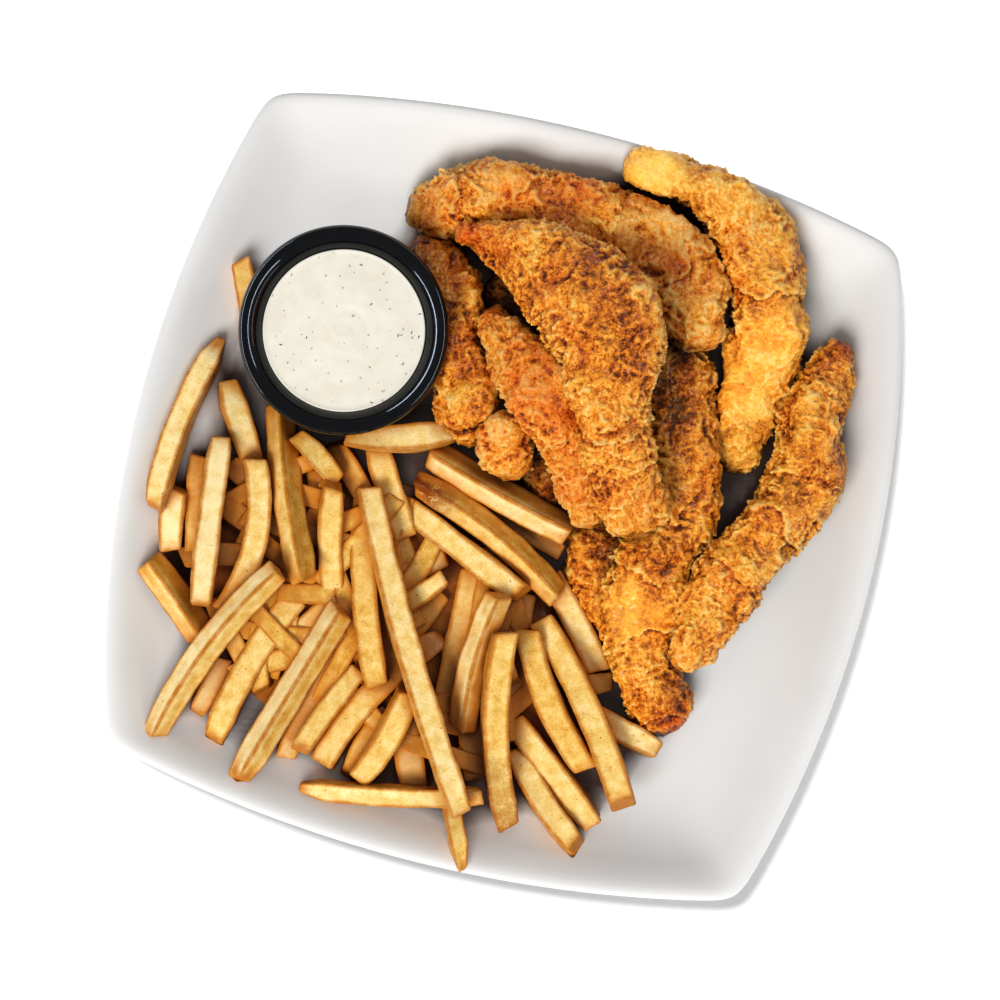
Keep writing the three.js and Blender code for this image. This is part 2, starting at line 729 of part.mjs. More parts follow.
function stripSolid(strip, grow) {
  const samples = stripSamples(strip, STRIP_RING_EVERY);
  const length = samples[0].length;
  const rings = samples.map((s) => {
    const high = halfThick(strip, s.half);
    const middle = strip.lie(s.along / length) + high;
    const ends = Math.min(1, Math.min(s.along, length - s.along) / STRIP_SMOOTH_END);
    const ring = [];
    for (let j = 0; j < STRIP_SIDES; j++) {
      const angle = (TURN * j) / STRIP_SIDES;
      const out = grow + batterRelief(strip, s.along, angle) * (0.35 + 0.65 * ends);
      const across = (s.half + out) * rounded(Math.cos(angle));
      const lift = (high + out) * rounded(Math.sin(angle));
      ring.push(new THREE.Vector3(s.x - across * s.dirY, s.y + across * s.dirX, middle + lift));
    }
    return ring;
  });
  const [first, last] = [samples[0], samples[samples.length - 1]];
  for (const [ring, s, way] of [[rings[0], first, -1], [rings[rings.length - 1], last, 1]]) {
    ring.forEach((p) => p.add(new THREE.Vector3(s.dirX * way * grow, s.dirY * way * grow, 0)));
  }
  return solidFrom(skin(rings));
}

// The whole meal, laid from the bottom up

function meet(a, b) {
  const boxA = a.boundingBox();
  const boxB = b.boundingBox();
  return [0, 1, 2].every((k) => boxA.min[k] < boxB.max[k] && boxB.min[k] < boxA.max[k]);
}

function cutBy(solid, tools) {
  return tools.filter((tool) => meet(solid, tool)).reduce((left, tool) => left.subtract(tool), solid);
}

function makeFood() {
  startMap();
  const under = STRIPS_UNDER.map(settleStrip);
  const covered = CHIPS_UNDER.map((chip) => ({ ...chip, plain: true }));
  const chips = [...covered, ...CHIPS_OVER].map(settleChip);
  const alone = settleChip(CHIP_ALONE);
  const over = STRIPS_OVER.map(settleStrip);

  const dishes = [plateKeepOut(), potKeepOut()];
  const chipShapes = (grow) => joined([coreSolid(grow), ...chips.map((c) => chipSolid(c, grow))]);
  const heap = largestBody(cutBy(chipShapes(0), dishes));
  const heapGrown = chipShapes(GAP);
  const apart = largestBody(cutBy(chipSolid(alone, 0), [...dishes, heapGrown]));

  const strips = [];
  const below = [];
  for (const strip of [...under, ...over]) {
    const shape = cutBy(stripSolid(strip, 0), [...dishes, heapGrown, ...below]);
    strips.push({ name: strip.name, solid: largestBody(shape) });
    below.push(stripSolid(strip, GAP));
  }
  return { heap, apart, strips };
}

// Materials

const porcelain = new THREE.MeshStandardMaterial({ color: "#f1f1f2", roughness: 0.18 });
const blackMelamine = new THREE.MeshStandardMaterial({ color: "#121316", roughness: 0.22 });
const creamyDip = new THREE.MeshStandardMaterial({ color: "#eeeade", roughness: 0.45 });
const friedPotato = new THREE.MeshStandardMaterial({ color: "#e6bd68", roughness: 0.6 });
const friedBatter = new THREE.MeshStandardMaterial({ color: "#c67d2c", roughness: 0.6 });

function named(name, geometry, material) {
  const mesh = new THREE.Mesh(geometry, material);
  mesh.name = name;
  return mesh;
}

const meal = new THREE.Group();
meal.add(named("plate", makePlate(), porcelain));

const potOfDip = new THREE.Group();
potOfDip.add(named("pot", makePot(), blackMelamine));
potOfDip.add(named("dip", makeDip(), creamyDip));
meal.add(potOfDip);

const food = makeFood();
meal.add(named("chips", geometryFrom(food.heap), friedPotato));
meal.add(named("chip_by_pot", geometryFrom(food.apart), friedPotato));
for (const { name, solid } of food.strips) {
  meal.add(named(name, geometryFrom(solid), friedBatter));
}

export default meal;
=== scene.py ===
import math

import bpy
import numpy as np
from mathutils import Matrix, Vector, noise


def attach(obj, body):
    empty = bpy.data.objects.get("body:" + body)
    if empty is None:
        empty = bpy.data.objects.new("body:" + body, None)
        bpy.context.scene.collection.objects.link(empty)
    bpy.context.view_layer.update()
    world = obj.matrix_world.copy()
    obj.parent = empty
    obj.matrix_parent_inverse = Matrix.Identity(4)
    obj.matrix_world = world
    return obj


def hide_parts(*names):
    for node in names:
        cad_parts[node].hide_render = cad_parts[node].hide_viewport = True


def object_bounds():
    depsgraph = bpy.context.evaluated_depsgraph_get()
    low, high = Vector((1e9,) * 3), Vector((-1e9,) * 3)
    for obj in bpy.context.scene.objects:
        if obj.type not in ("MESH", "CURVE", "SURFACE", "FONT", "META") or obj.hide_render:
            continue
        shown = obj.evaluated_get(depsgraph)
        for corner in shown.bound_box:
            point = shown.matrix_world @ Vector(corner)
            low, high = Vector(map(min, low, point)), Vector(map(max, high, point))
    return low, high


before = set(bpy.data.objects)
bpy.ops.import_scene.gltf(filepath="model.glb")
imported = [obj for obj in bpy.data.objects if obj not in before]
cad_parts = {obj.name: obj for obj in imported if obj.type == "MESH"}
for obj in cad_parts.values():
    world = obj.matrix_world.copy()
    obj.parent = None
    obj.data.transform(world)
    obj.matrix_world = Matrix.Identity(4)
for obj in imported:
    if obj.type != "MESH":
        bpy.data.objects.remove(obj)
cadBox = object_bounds()
print("frame loaded:", len(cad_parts), "nodes")

mm = 0.001
turn = 2 * math.pi


# Small helpers for materials and meshes

def colour(hexText):
    values = [int(hexText[i:i + 2], 16) / 255 for i in (1, 3, 5)]
    linear = [v / 12.92 if v <= 0.04045 else ((v + 0.055) / 1.055) ** 2.4 for v in values]
    return (*linear, 1.0)


# Gives a node's inputs a fixed value, a colour as hex, or what another node puts out. A dictionary says
# which inputs; a list fills those in use, in their order.
def setInputs(tree, node, inputs):
    if isinstance(inputs, list):
        inUse = [i for i, socket in enumerate(node.inputs) if socket.enabled]
        inputs = dict(zip(inUse, inputs))
    for name, value in inputs.items():
        if isinstance(value, bpy.types.Node):
            value = next(socket for socket in value.outputs if socket.enabled)
        if isinstance(value, bpy.types.NodeSocket):
            tree.links.new(value, node.inputs[name])
        elif isinstance(value, str):
            node.inputs[name].default_value = colour(value)
        else:
            node.inputs[name].default_value = value


# Adds a node with its inputs, the colours along it if it is a colour ramp, and its own settings.
def addNode(tree, kind, inputs=None, stops=(), **settings):
    node = tree.nodes.new(kind if "Node" in kind else "ShaderNode" + kind)
    for name, value in settings.items():
        setattr(node, name, value)
    for i, (place, shade) in enumerate(stops):
        elements = node.color_ramp.elements
        element = elements[i] if i < len(elements) else elements.new(place)
        element.position = place
        element.color = colour(shade)
    setInputs(tree, node, inputs or {})
    return node


# A material with its fixed values set. The last thing it gives back is the place on the piece.
def newMaterial(name, fixed):
    material = bpy.data.materials.new(name)
    material.use_nodes = True
    tree = material.node_tree
    shader = tree.nodes["Principled BSDF"]
    setInputs(tree, shader, fixed)
    return material, tree, shader, addNode(tree, "TexCoord").outputs["Object"]


# A mesh object from points in millimetres, with its numbers for each point kept as attributes.
def makePiece(name, points, faces, material, attributes=None):
    mesh = bpy.data.meshes.new(name)
    mesh.from_pydata((np.asarray(points) * mm).tolist(), [], faces)
    mesh.shade_smooth()
    for label, values in (attributes or {}).items():
        layer = mesh.attributes.new(label, "FLOAT", "POINT")
        layer.data.foreach_set("value", np.asarray(values, np.float32))
    mesh.materials.append(material)
    piece = bpy.data.objects.new(name, mesh)
    bpy.context.scene.collection.objects.link(piece)
    return piece


def settlePiece(piece, slotName, *nodes):
    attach(piece, "root")
    if nodes:
        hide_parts(*nodes)
    lit[litAs[slotName]].objects.link(piece)
    if slotName not in ("black_melamine", "herb_dip"):  # the pot's sharp shadow isn't wanted on the plate
        shadesWare.objects.link(piece)
    print(piece.name, len(piece.data.polygons), "faces")


# Faces of a tube of rings whose points follow each other row by row, with a middle point before the
# first ring and one after the last.
def tubeFaces(ringCount, around, start=0):
    body = start + 1
    last = body + ringCount * around
    steps = np.arange(around)
    following = (steps + 1) % around
    faces = [(start, body + int(b), body + int(a)) for a, b in zip(steps, following)]
    for row in range(ringCount - 1):
        low = body + row * around
        high = low + around
        quads = np.stack([low + steps, low + following, high + following, high + steps], axis=1)
        faces.extend(map(tuple, quads.tolist()))
    end = body + (ringCount - 1) * around
    faces.extend((last, end + int(a), end + int(b)) for a, b in zip(steps, following))
    return faces


# Rounds the corners of a line of points by cutting them, as often as rounds says.
def easedLine(points, rounds):
    line = np.array(points, float)
    for _ in range(rounds):
        before, after = line[:-1], line[1:]
        cut = np.stack([0.75 * before + 0.25 * after, 0.25 * before + 0.75 * after], axis=1)
        line = np.vstack([line[:1], cut.reshape(-1, line.shape[1]), line[-1:]])
    return line


def noiseAt(points, scale, shift=0.0):
    places = (points / scale + shift).tolist()
    return np.array([noise.noise(p) for p in places])


# Camera, floor and lights

view = {
    "height": 1.2,  # metres above the table, looking straight down
    "turned": 14.1,  # degrees that the plate is turned in the picture
    "pixelsAcross": 1000,
    "focalPixels": 3127,
    "middle": (503.5, 496.5),  # where the plate's middle falls in the picture
    "sensor": 36,
}


def makeCamera():
    data = bpy.data.cameras.new("camera")
    data.sensor_width = view["sensor"]
    data.lens = view["sensor"] * view["focalPixels"] / view["pixelsAcross"]
    data.shift_x = 0.5 - view["middle"][0] / view["pixelsAcross"]
    data.shift_y = view["middle"][1] / view["pixelsAcross"] - 0.5
    camera = bpy.data.objects.new("camera", data)
    camera.location = (0, 0, view["height"])
    camera.rotation_euler = (0, 0, math.radians(view["turned"]))
    bpy.context.scene.collection.objects.link(camera)
    bpy.context.scene.camera = camera


studio = {
    "worldStrength": 0.3,
    "paperGlow": 0.14,
    "paperHalf": 1.5,
    # name: place, width and height in metres, watts, colour, what it lights
    "lights": {
        "soft key": ((-0.25, -1.64, 1.99), (1.6, 1.6), 54.0, "#FFFDFA", "ware"),
        "left rim": ((-1.2, 0.0, 0.35), (1.4, 0.06), 1.0, "#FFFFFF", "ware"),
        "right rim": ((1.2, 0.0, 0.35), (1.4, 0.06), 1.0, "#FFFFFF", "ware"),
        "food key": ((-0.72, -1.5, 2.0), (0.9, 0.9), 51.0, "#FFFAF0", "food"),
        "food fill": ((0.5, 1.1, 1.9), (1.2, 1.2), 11.0, "#FFF8EC", "food"),
        "glint": ((-0.1, -0.85, 0.9), (0.25, 0.25), 2.2, "#FFFCF7", "food"),
        "left strip": ((-1.0, 0.0, 0.35), (2.0, 0.06), 11.0, "#DDE8FF", "pot"),
        "right strip": ((0.9, 0.1, 0.8), (1.5, 0.07), 8.0, "#DDE8FF", "pot"),
    },
    # angle in degrees; shadow is how far the shadow of the plate's rim falls in the picture, in mm
    "paperSun": {"strength": 2.7, "angle": 11, "shadow": (4.9, -7.4), "rimHeight": 23},
}
# what each light falls on, and what shades the plate: pieces join these as they are made
lit = {name: bpy.data.collections.new("lit " + name) for name in ("paper", "ware", "food", "pot")}
shadesWare = bpy.data.collections.new("shades the ware")
litAs = {"glazed_porcelain": "ware", "black_melamine": "ware", "herb_dip": "ware",
         "fried_potato": "food", "fried_batter": "food"}


def makeStudio():
    scene = bpy.context.scene
    world = bpy.data.worlds.new("soft white room")
    scene.world = world
    world.use_nodes = True
    background = world.node_tree.nodes["Background"]
    setInputs(world.node_tree, background, {"Color": "#FFFFFF", "Strength": studio["worldStrength"]})
    # white seamless paper, with a little glow so that it stays pure white round the plate
    paper, tree, shader, place = newMaterial("white seamless paper", {
        "Base Color": "#F7F7F7",
        "Roughness": 0.9,
        "Emission Color": "#FFFFFF",
        "Emission Strength": studio["paperGlow"],
    })
    grain = addNode(tree, "TexNoise", {"Vector": place, "Scale": 900.0, "Detail": 2.0})
    bump = addNode(tree, "Bump", {"Strength": 0.05, "Height": grain})
    setInputs(tree, shader, {"Normal": bump})
    half = studio["paperHalf"] / mm
    corners = [(-half, -half, 0), (half, -half, 0), (half, half, 0), (-half, half, 0)]
    floor = makePiece("floor", corners, [(0, 1, 2, 3)], paper)
    lit["paper"].objects.link(floor)
    for name, (spot, (width, height), watts, shade, lights) in studio["lights"].items():
        lamp = bpy.data.lights.new(name, "AREA")
        lamp.shape = "RECTANGLE"
        lamp.size = width
        lamp.size_y = height
        lamp.energy = watts
        lamp.color = colour(shade)[:3]
        holder = bpy.data.objects.new(name, lamp)
        holder.location = spot
        holder.rotation_euler = (-Vector(spot)).to_track_quat("-Z", "Y").to_euler()
        holder.light_linking.receiver_collection = lit[lights]
        if lights == "ware":
            holder.light_linking.blocker_collection = shadesWare
        holder.visible_glossy = "key" not in name  # so that they leave no hard patches on gloss
        scene.collection.objects.link(holder)
    paperSun = studio["paperSun"]
    sun = bpy.data.lights.new("paper's sun", "SUN")
    sun.energy = paperSun["strength"]
    sun.angle = math.radians(paperSun["angle"])
    holder = bpy.data.objects.new("paper's sun", sun)
    slant = math.radians(view["turned"])
    right, up = (v * mm for v in paperSun["shadow"])
    fall = Vector((right * math.cos(slant) - up * math.sin(slant),
                   right * math.sin(slant) + up * math.cos(slant), -paperSun["rimHeight"] * mm))
    holder.rotation_euler = fall.to_track_quat("-Z", "Y").to_euler()
    holder.light_linking.receiver_collection = lit["paper"]
    scene.collection.objects.link(holder)


makeCamera()
makeStudio()
bpy.context.scene.view_settings.view_transform = "Standard"
bpy.context.scene.view_settings.look = "Medium High Contrast"
print("camera and studio ready")


# Plate

plateSizes = {
    "halfWidth": 142,
    "halfDepth": 141.6,
    "cornerX": 122.3,
    "cornerY": 126.5,
    "rimRoundness": 56,
    "wellRoundness": 12,
    "wellInset": 40,
    "stepsPerSide": 72,
    "cornerCrowding": 0.65,
    # inset from the rim and height, from the foot round to the well
    "section": [(52, 2.6), (50.5, 0), (45, 0), (43, 3), (22, 8.2), (5, 18.4), (0.4, 21.6), (0, 23),
                (1.8, 24.2), (5, 23.6), (10, 20.6), (17, 15.4), (25, 11), (34, 8.4), (43, 7.6)],
    "lipRow": 8,  # from this row on it is the upper side
    "rounding": 3,
    "wellRings": 30,
    "gapReaches": (5, 9, 14, 20),  # how far out gapAt looks from the plate, and how far that is evened out
    "gapEasing": 4,
}
wellHeight = plateSizes["section"][-1][1]


def sideArcs():
    arcs = []
    for side in range(4):
        onX = side % 2 == 0
        half = plateSizes["halfWidth" if onX else "halfDepth"]
        across = plateSizes["cornerX" if onX else "cornerY"]
        along = plateSizes["cornerY" if onX else "cornerX"]
        rise = half - across
        radius = (along * along + rise * rise) / (2 * rise)
        arcs.append((radius, radius - half, side * turn / 4))
    return arcs


plateArcs = sideArcs()


def outlineReach(angles, inset):
    share = min(1, max(0, inset / plateSizes["wellInset"]))
    sharp = plateSizes["rimRoundness"]
    roundness = sharp + (plateSizes["wellRoundness"] - sharp) * share
    total = 0
    for radius, back, facing in plateArcs:
        along = back * np.cos(angles - facing)
        across = back * np.sin(angles - facing)
        total = total + (np.sqrt((radius - inset) ** 2 - across ** 2) - along) ** -roundness
    return total ** (-1 / roundness)


# The height of the plate's upper side at places seen from above.
def plateTop(x, y):
    inset = np.full(np.shape(x), np.inf)
    for radius, back, facing in plateArcs:
        away = np.hypot(x + back * math.cos(facing), y + back * math.sin(facing))
        inset = np.minimum(inset, radius - away)
    rows = np.array(plateSizes["section"][plateSizes["lipRow"]:])
    height = np.interp(inset, rows[:, 0], rows[:, 1])
    return np.where(inset < 0, -1e6, height)  # far down where there is no plate


# Glazed porcelain: a clear glass glaze over white body, so it is smooth with sharp soft-box
# reflections, and pools into faint long waves.
def glazedPorcelain():
    material, tree, shader, place = newMaterial("glazed white porcelain", {"IOR": 1.5})
    cloud = addNode(tree, "TexNoise", {"Vector": place, "Scale": 22.0, "Detail": 3.0})
    shade = addNode(tree, "ValToRGB", [cloud], stops=[(0.35, "#E8E8E8"), (0.65, "#ECECEC")])
    # painted shade: brown deep in the gaps between the food, where the heap hides the sky
    gap = addNode(tree, "Attribute", attribute_name="gap").outputs["Fac"]
    glazeShadeShare = addNode(tree, "MapRange", [gap, 0.54, 0.76, 0.0, 0.95])
    shadedGlaze = addNode(tree, "Mix", [glazeShadeShare, shade, "#4A2A1C"], data_type="RGBA")
    gloss = addNode(tree, "MapRange", [cloud, 0.0, 1.0, 0.16, 0.22])
    waves = addNode(tree, "TexNoise", {"Vector": place, "Scale": 60.0, "Detail": 1.0})
    bump = addNode(tree, "Bump", {"Strength": 0.12, "Distance": 0.0006, "Height": waves})
    setInputs(tree, shader, {"Base Color": shadedGlaze, "Roughness": gloss, "Normal": bump})
    return material


def makePlate():
    section = easedLine(plateSizes["section"], plateSizes["rounding"])
    even = -1 + 2 * np.arange(plateSizes["stepsPerSide"]) / plateSizes["stepsPerSide"]
    crowding = plateSizes["cornerCrowding"]
    within = even + (np.sin(even * turn / 4) - even) * crowding
    angles = np.concatenate([(side + within / 2) * turn / 4 for side in range(4)])
    points = [np.array([[0, 0, section[0][1]]])]
    for inset, z in section:
        reach = outlineReach(angles, inset)
        ring = [reach * np.cos(angles), reach * np.sin(angles), np.full(len(angles), z)]
        points.append(np.column_stack(ring))
    edge = points[-1]
    wellRings = plateSizes["wellRings"]
    for ring in range(1, wellRings):
        points.append(edge * (1 - ring / wellRings, 1 - ring / wellRings, 1))
    points.append(np.array([[0, 0, section[-1][1]]]))
    points = np.vstack(points)
    faces = tubeFaces(len(section) + wellRings - 1, len(angles))
    # how deep in the heap's gaps the plate lies, for its painted shade, evened out over a few millimetres,
    # so that no single chip draws a streak on the well
    reach = plateSizes["gapEasing"]
    around = [(reach * math.cos(a), reach * math.sin(a), 0) for a in turn * np.arange(8) / 8]
    gap = np.mean([gapAt(points + step, plateSizes["gapReaches"]) for step in around], axis=0)
    return makePiece("porcelain_plate", points, faces, glazedPorcelain(), {"gap": gap})


# Pot of dip

potSizes = {
    "x": -72.4,
    "y": 45.3,
    "height": 38,
    "rimRadius": 39,
    "baseRadius": 26,
    "wallAtRim": 33.4,
    "wall": 3.4,
    "floor": 3.8,
    "footRise": 1.2,
    "rimDepth": 7,
    "rimFlare": 5.6,
    "floorRound": 2.4,
    "dipBelowRim": 6,
    "gap": 0.35,
    "sides": 160,
    "rounding": 2,
}
potBottom = wellHeight + potSizes["gap"]


# The inner radius at a height above the pot's bottom.
def potInside(z):
    nearRim = potSizes["height"] - potSizes["rimDepth"]
    atFloor = potSizes["baseRadius"] - potSizes["wall"]
    below = atFloor + (potSizes["wallAtRim"] - potSizes["wall"] - atFloor) * min(1, z / nearRim)
    flare = max(0, (z - nearRim) / potSizes["rimDepth"])
    return below + potSizes["rimFlare"] * flare ** 1.5


# Points of a profile, of radius and height, turned about the pot's middle.
def turned(profile, sides):
    angles = turn * np.arange(sides) / sides
    rings = [np.stack([potSizes["x"] + r * np.cos(angles), potSizes["y"] + r * np.sin(angles),
                       np.full(sides, potBottom + z)], axis=1) for r, z in profile[1:-1]]
    ends = [[[potSizes["x"], potSizes["y"], potBottom + z]] for _, z in (profile[0], profile[-1])]
    return np.vstack([ends[0], *rings, ends[1]])


# Black melamine: a moulded thermoset with a polished face, so it takes long clear highlights, a little
# uneven with use.
def blackMelamine():
    material, tree, shader, place = newMaterial("polished black melamine", {
        "IOR": 1.57,
        "Specular IOR Level": 0.35,
    })
    wear = addNode(tree, "TexNoise", {"Vector": place, "Scale": 130.0, "Detail": 4.0})
    shade = addNode(tree, "ValToRGB", [wear], stops=[(0.3, "#040507"), (0.75, "#0A0C0F")])
    gloss = addNode(tree, "MapRange", [wear, 0.0, 1.0, 0.05, 0.14])
    bump = addNode(tree, "Bump", {"Strength": 0.06, "Distance": 0.0004, "Height": wear})
    setInputs(tree, shader, {"Base Color": shade, "Roughness": gloss, "Normal": bump})
    return material


def makePot():
    height, rim, base = potSizes["height"], potSizes["rimRadius"], potSizes["baseRadius"]
    wall, floor, rise = potSizes["wallAtRim"], potSizes["floor"], potSizes["footRise"]
    outside = [(0, rise), (base - 4, rise), (base - 3, 0), (base - 0.8, 0), (base, 1),
               (wall, height - 8.5), (wall + 2, height - 6.4), (rim - 0.8, height - 5.6),
               (rim, height - 4), (rim - 0.1, height - 2), (rim - 1.1, height - 0.5), (rim - 2.6, height)]
    inside = [(potInside(height - down), height - down) for down in (1.2, 3, 5, 7)]
    bottom = [(potInside(floor + 2), floor + 2),
              (potInside(floor) - potSizes["floorRound"], floor), (0, floor)]
    profile = easedLine(outside + inside + bottom, potSizes["rounding"])
    points = turned(profile, potSizes["sides"])
    return makePiece("melamine_pot", points, tubeFaces(len(profile) - 2, potSizes["sides"]), blackMelamine())


# Creamy dip: thick and opaque with a wet skin, a little light passing through it.
def creamyDip():
    material, tree, shader, place = newMaterial("creamy herb dip", {
        "IOR": 1.4,
        "Roughness": 0.32,
        "Subsurface Weight": 0.25,
        "Subsurface Radius": (1.0, 0.9, 0.75),
        "Subsurface Scale": 0.002,
    })
    cloud = addNode(tree, "TexNoise", {"Vector": place, "Scale": 140.0, "Detail": 5.0})
    base = addNode(tree, "ValToRGB", [cloud], stops=[(0.35, "#F0EBDC"), (0.65, "#F7F3E7")])
    # herb dust under the surface, grey-green specks under a millimetre wide
    dust = addNode(tree, "TexVoronoi", {"Vector": place, "Scale": 330.0})
    isDust = addNode(tree, "MapRange", [dust.outputs["Distance"], 0.10, 0.2, 0.55, 0.0])
    some = addNode(tree, "Math", [dust.outputs["Color"], 0.62], operation="GREATER_THAN")
    share = addNode(tree, "Math", [isDust, some], operation="MULTIPLY")
    shade = addNode(tree, "Mix", [share, base, "#8C8F78"], data_type="RGBA")
    bump = addNode(tree, "Bump", {"Strength": 0.2, "Distance": 0.0005, "Height": cloud})
    setInputs(tree, shader, {"Base Color": shade, "Normal": bump})
    return material


dipSizes = {
    "swirlReach": 13,  # how far out from the middle the spoon's swirl shows
    "swirlHeight": 0.07,
    "swirlSpacing": 5.2,
    "rippleSize": 9,
    "rippleHeight": 0.15,
    "rings": 60,
}


def makeDip():
    gap, floor = potSizes["gap"], potSizes["floor"] + potSizes["gap"]
    level = potSizes["height"] - potSizes["dipBelowRim"]
    edge = potInside(level + 0.4) - gap
    below = [(0, floor), (potInside(floor) - potSizes["floorRound"] - gap, floor),
             (potInside(floor + 2) - gap, floor + 2), (potInside(level - 1) - gap, level - 1)]
    radii = edge * (1 - np.arange(dipSizes["rings"]) / dipSizes["rings"])
    top = [(r, level - 0.1 + 0.5 * max(0, (r - edge + 2) / 2) ** 2) for r in radii]
    profile = below + top + [(0, level - 0.1)]
    points = turned(profile, potSizes["sides"])
    away = points[:, :2] - (potSizes["x"], potSizes["y"])
    distance = np.hypot(*away.T)
    angle = np.arctan2(away[:, 1], away[:, 0])
    onTop = points[:, 2] > potBottom + level - 0.5
    swirl = np.sin(angle + turn * distance / dipSizes["swirlSpacing"])
    swirl = swirl * np.exp(-(distance / dipSizes["swirlReach"]) ** 2)
    ripple = noiseAt(points, dipSizes["rippleSize"]) * np.clip((edge - distance) / 6, 0, 1)
    swirl = dipSizes["swirlHeight"] * swirl * np.clip(distance / 2, 0, 1)
    points[:, 2] += onTop * (swirl + dipSizes["rippleHeight"] * ripple)
    return makePiece("herb_dip", points, tubeFaces(len(profile) - 2, potSizes["sides"]), creamyDip())


# Dried herb: dark green leaf scraps, dull, darker where the dip wets them.
def driedHerb():
    material, tree, shader, place = newMaterial("wet dried herb", {"IOR": 1.4, "Roughness": 0.45})
    patch = addNode(tree, "TexNoise", {"Vector": place, "Scale": 400.0, "Detail": 2.0})
    shade = addNode(tree, "ValToRGB", [patch], stops=[(0.35, "#2F3A22"), (0.7, "#66704E")])
    setInputs(tree, shader, {"Base Color": shade})
    return material


herbSizes = {
    "perSquareMetre": 30000,
    "length": 1.3,
    "width": 0.42,
    "smallest": 0.25,
    "largest": 1.25,
    "tilt": 0.25,  # radians from level, at most
    "seed": 7,
}


# Geometry Nodes: scatters one small scrap over the upward faces that lie above a height.
def scatterTree(name, scrap, material):
    tree = bpy.data.node_groups.new(name, "GeometryNodeTree")
    face = tree.interface
    face.new_socket("Geometry", in_out="INPUT", socket_type="NodeSocketGeometry")
    for label in ("Density", "Above", "Smallest", "Largest"):
        face.new_socket(label, in_out="INPUT", socket_type="NodeSocketFloat")
    face.new_socket("Seed", in_out="INPUT", socket_type="NodeSocketInt")
    face.new_socket("Geometry", in_out="OUTPUT", socket_type="NodeSocketGeometry")
    given = addNode(tree, "NodeGroupInput").outputs
    place = addNode(tree, "GeometryNodeInputPosition")
    height = addNode(tree, "SeparateXYZ", [place]).outputs["Z"]
    normal = addNode(tree, "GeometryNodeInputNormal")
    facing = addNode(tree, "SeparateXYZ", [normal]).outputs["Z"]
    high = addNode(tree, "FunctionNodeCompare", [height, given["Above"]], operation="GREATER_THAN")
    upward = addNode(tree, "FunctionNodeCompare", [facing, 0.4], operation="GREATER_THAN")
    chosen = addNode(tree, "FunctionNodeBooleanMath", [high, upward], operation="AND")
    spread = addNode(tree, "GeometryNodeDistributePointsOnFaces", {
        "Mesh": given["Geometry"], "Selection": chosen, "Density": given["Density"], "Seed": given["Seed"]})
    # most scraps are small, and they lie nearly flat in any direction
    draw = addNode(tree, "FunctionNodeRandomValue", {2: 0.0, 3: 1.0, "Seed": given["Seed"]})
    small = addNode(tree, "Math", [draw, 2.5], operation="POWER")
    size = addNode(tree, "MapRange", [small, 0.0, 1.0, given["Smallest"], given["Largest"]])
    tilt = herbSizes["tilt"]
    spin = addNode(tree, "FunctionNodeRandomValue", {
        0: (-tilt, -tilt, 0.0), 1: (tilt, tilt, turn), "Seed": given["Seed"]}, data_type="FLOAT_VECTOR")
    info = addNode(tree, "GeometryNodeObjectInfo", {"Object": scrap, "As Instance": True})
    placed = addNode(tree, "GeometryNodeInstanceOnPoints", {
        "Points": spread, "Instance": info.outputs["Geometry"], "Rotation": spin, "Scale": size})
    real = addNode(tree, "GeometryNodeRealizeInstances", [placed])
    painted = addNode(tree, "GeometryNodeSetMaterial", {"Geometry": real, "Material": material})
    addNode(tree, "NodeGroupOutput", [painted])
    return tree


# Runs a tree on a copy of the ground piece and keeps the result as a plain mesh piece.
def scatterOn(ground, name, tree, values):
    holder = bpy.data.objects.new(name, ground.data.copy())
    bpy.context.scene.collection.objects.link(holder)
    modifier = holder.modifiers.new("scatter", "NODES")
    modifier.node_group = tree
    for item in tree.interface.items_tree:
        if item.in_out == "INPUT" and item.name in values:
            modifier[item.identifier] = values[item.name]
    evaluated = holder.evaluated_get(bpy.context.evaluated_depsgraph_get())
    result = bpy.data.meshes.new_from_object(evaluated)
    holder.modifiers.clear()
    holder.data = result
    return holder


def makeHerbScrap():
    length, width = herbSizes["length"], herbSizes["width"]
    outline = [(-length / 2, 0), (-length / 5, -width / 2), (length / 4, -width / 3),
               (length / 2, width / 6), (length / 6, width / 2), (-length / 4, width / 3)]
    points = [(x, y, 0.02) for x, y in outline] + [(x * 0.8, y * 0.8, 0.16) for x, y in outline]
    count = len(outline)
    sides = [(i, (i + 1) % count, count + (i + 1) % count, count + i) for i in range(count)]
    return points, [*sides, tuple(reversed(range(count))), tuple(range(count, 2 * count))]


def makeHerbs(dip):
    material = driedHerb()
    points, faces = makeHerbScrap()
    scrap = makePiece("herb_scrap", points, faces, material)
    tree = scatterTree("herb scatter", scrap, material)
    level = (potBottom + potSizes["height"] - potSizes["dipBelowRim"] - 0.6) * mm
    herbs = scatterOn(dip, "herb_flecks", tree, {
        "Density": float(herbSizes["perSquareMetre"]), "Above": level, "Smallest": herbSizes["smallest"],
        "Largest": herbSizes["largest"], "Seed": herbSizes["seed"]})
    bpy.data.objects.remove(scrap)
    return herbs


pot = makePot()
lit["pot"].objects.link(pot)
settlePiece(pot, "black_melamine", "pot")
dip = makeDip()
settlePiece(dip, "herb_dip", "dip")
settlePiece(makeHerbs(dip), "herb_dip")


# How the food lies: every chip and strip is laid on a height map of what is already there, one
# millimetre to a step, and raises it.

clearance = 0.15  # between the food and the plate
boxMargin = 0.05  # between the food and the sides of the CAD box
mapHalf = 150
mapSteps = np.arange(-mapHalf, mapHalf + 1)
heapMap = plateTop(*np.meshgrid(mapSteps, mapSteps))


def cellOf(x, y):
    column = np.clip(np.floor(x + mapHalf + 0.5).astype(int), 0, 2 * mapHalf)
    row = np.clip(np.floor(y + mapHalf + 0.5).astype(int), 0, 2 * mapHalf)
    return row, column
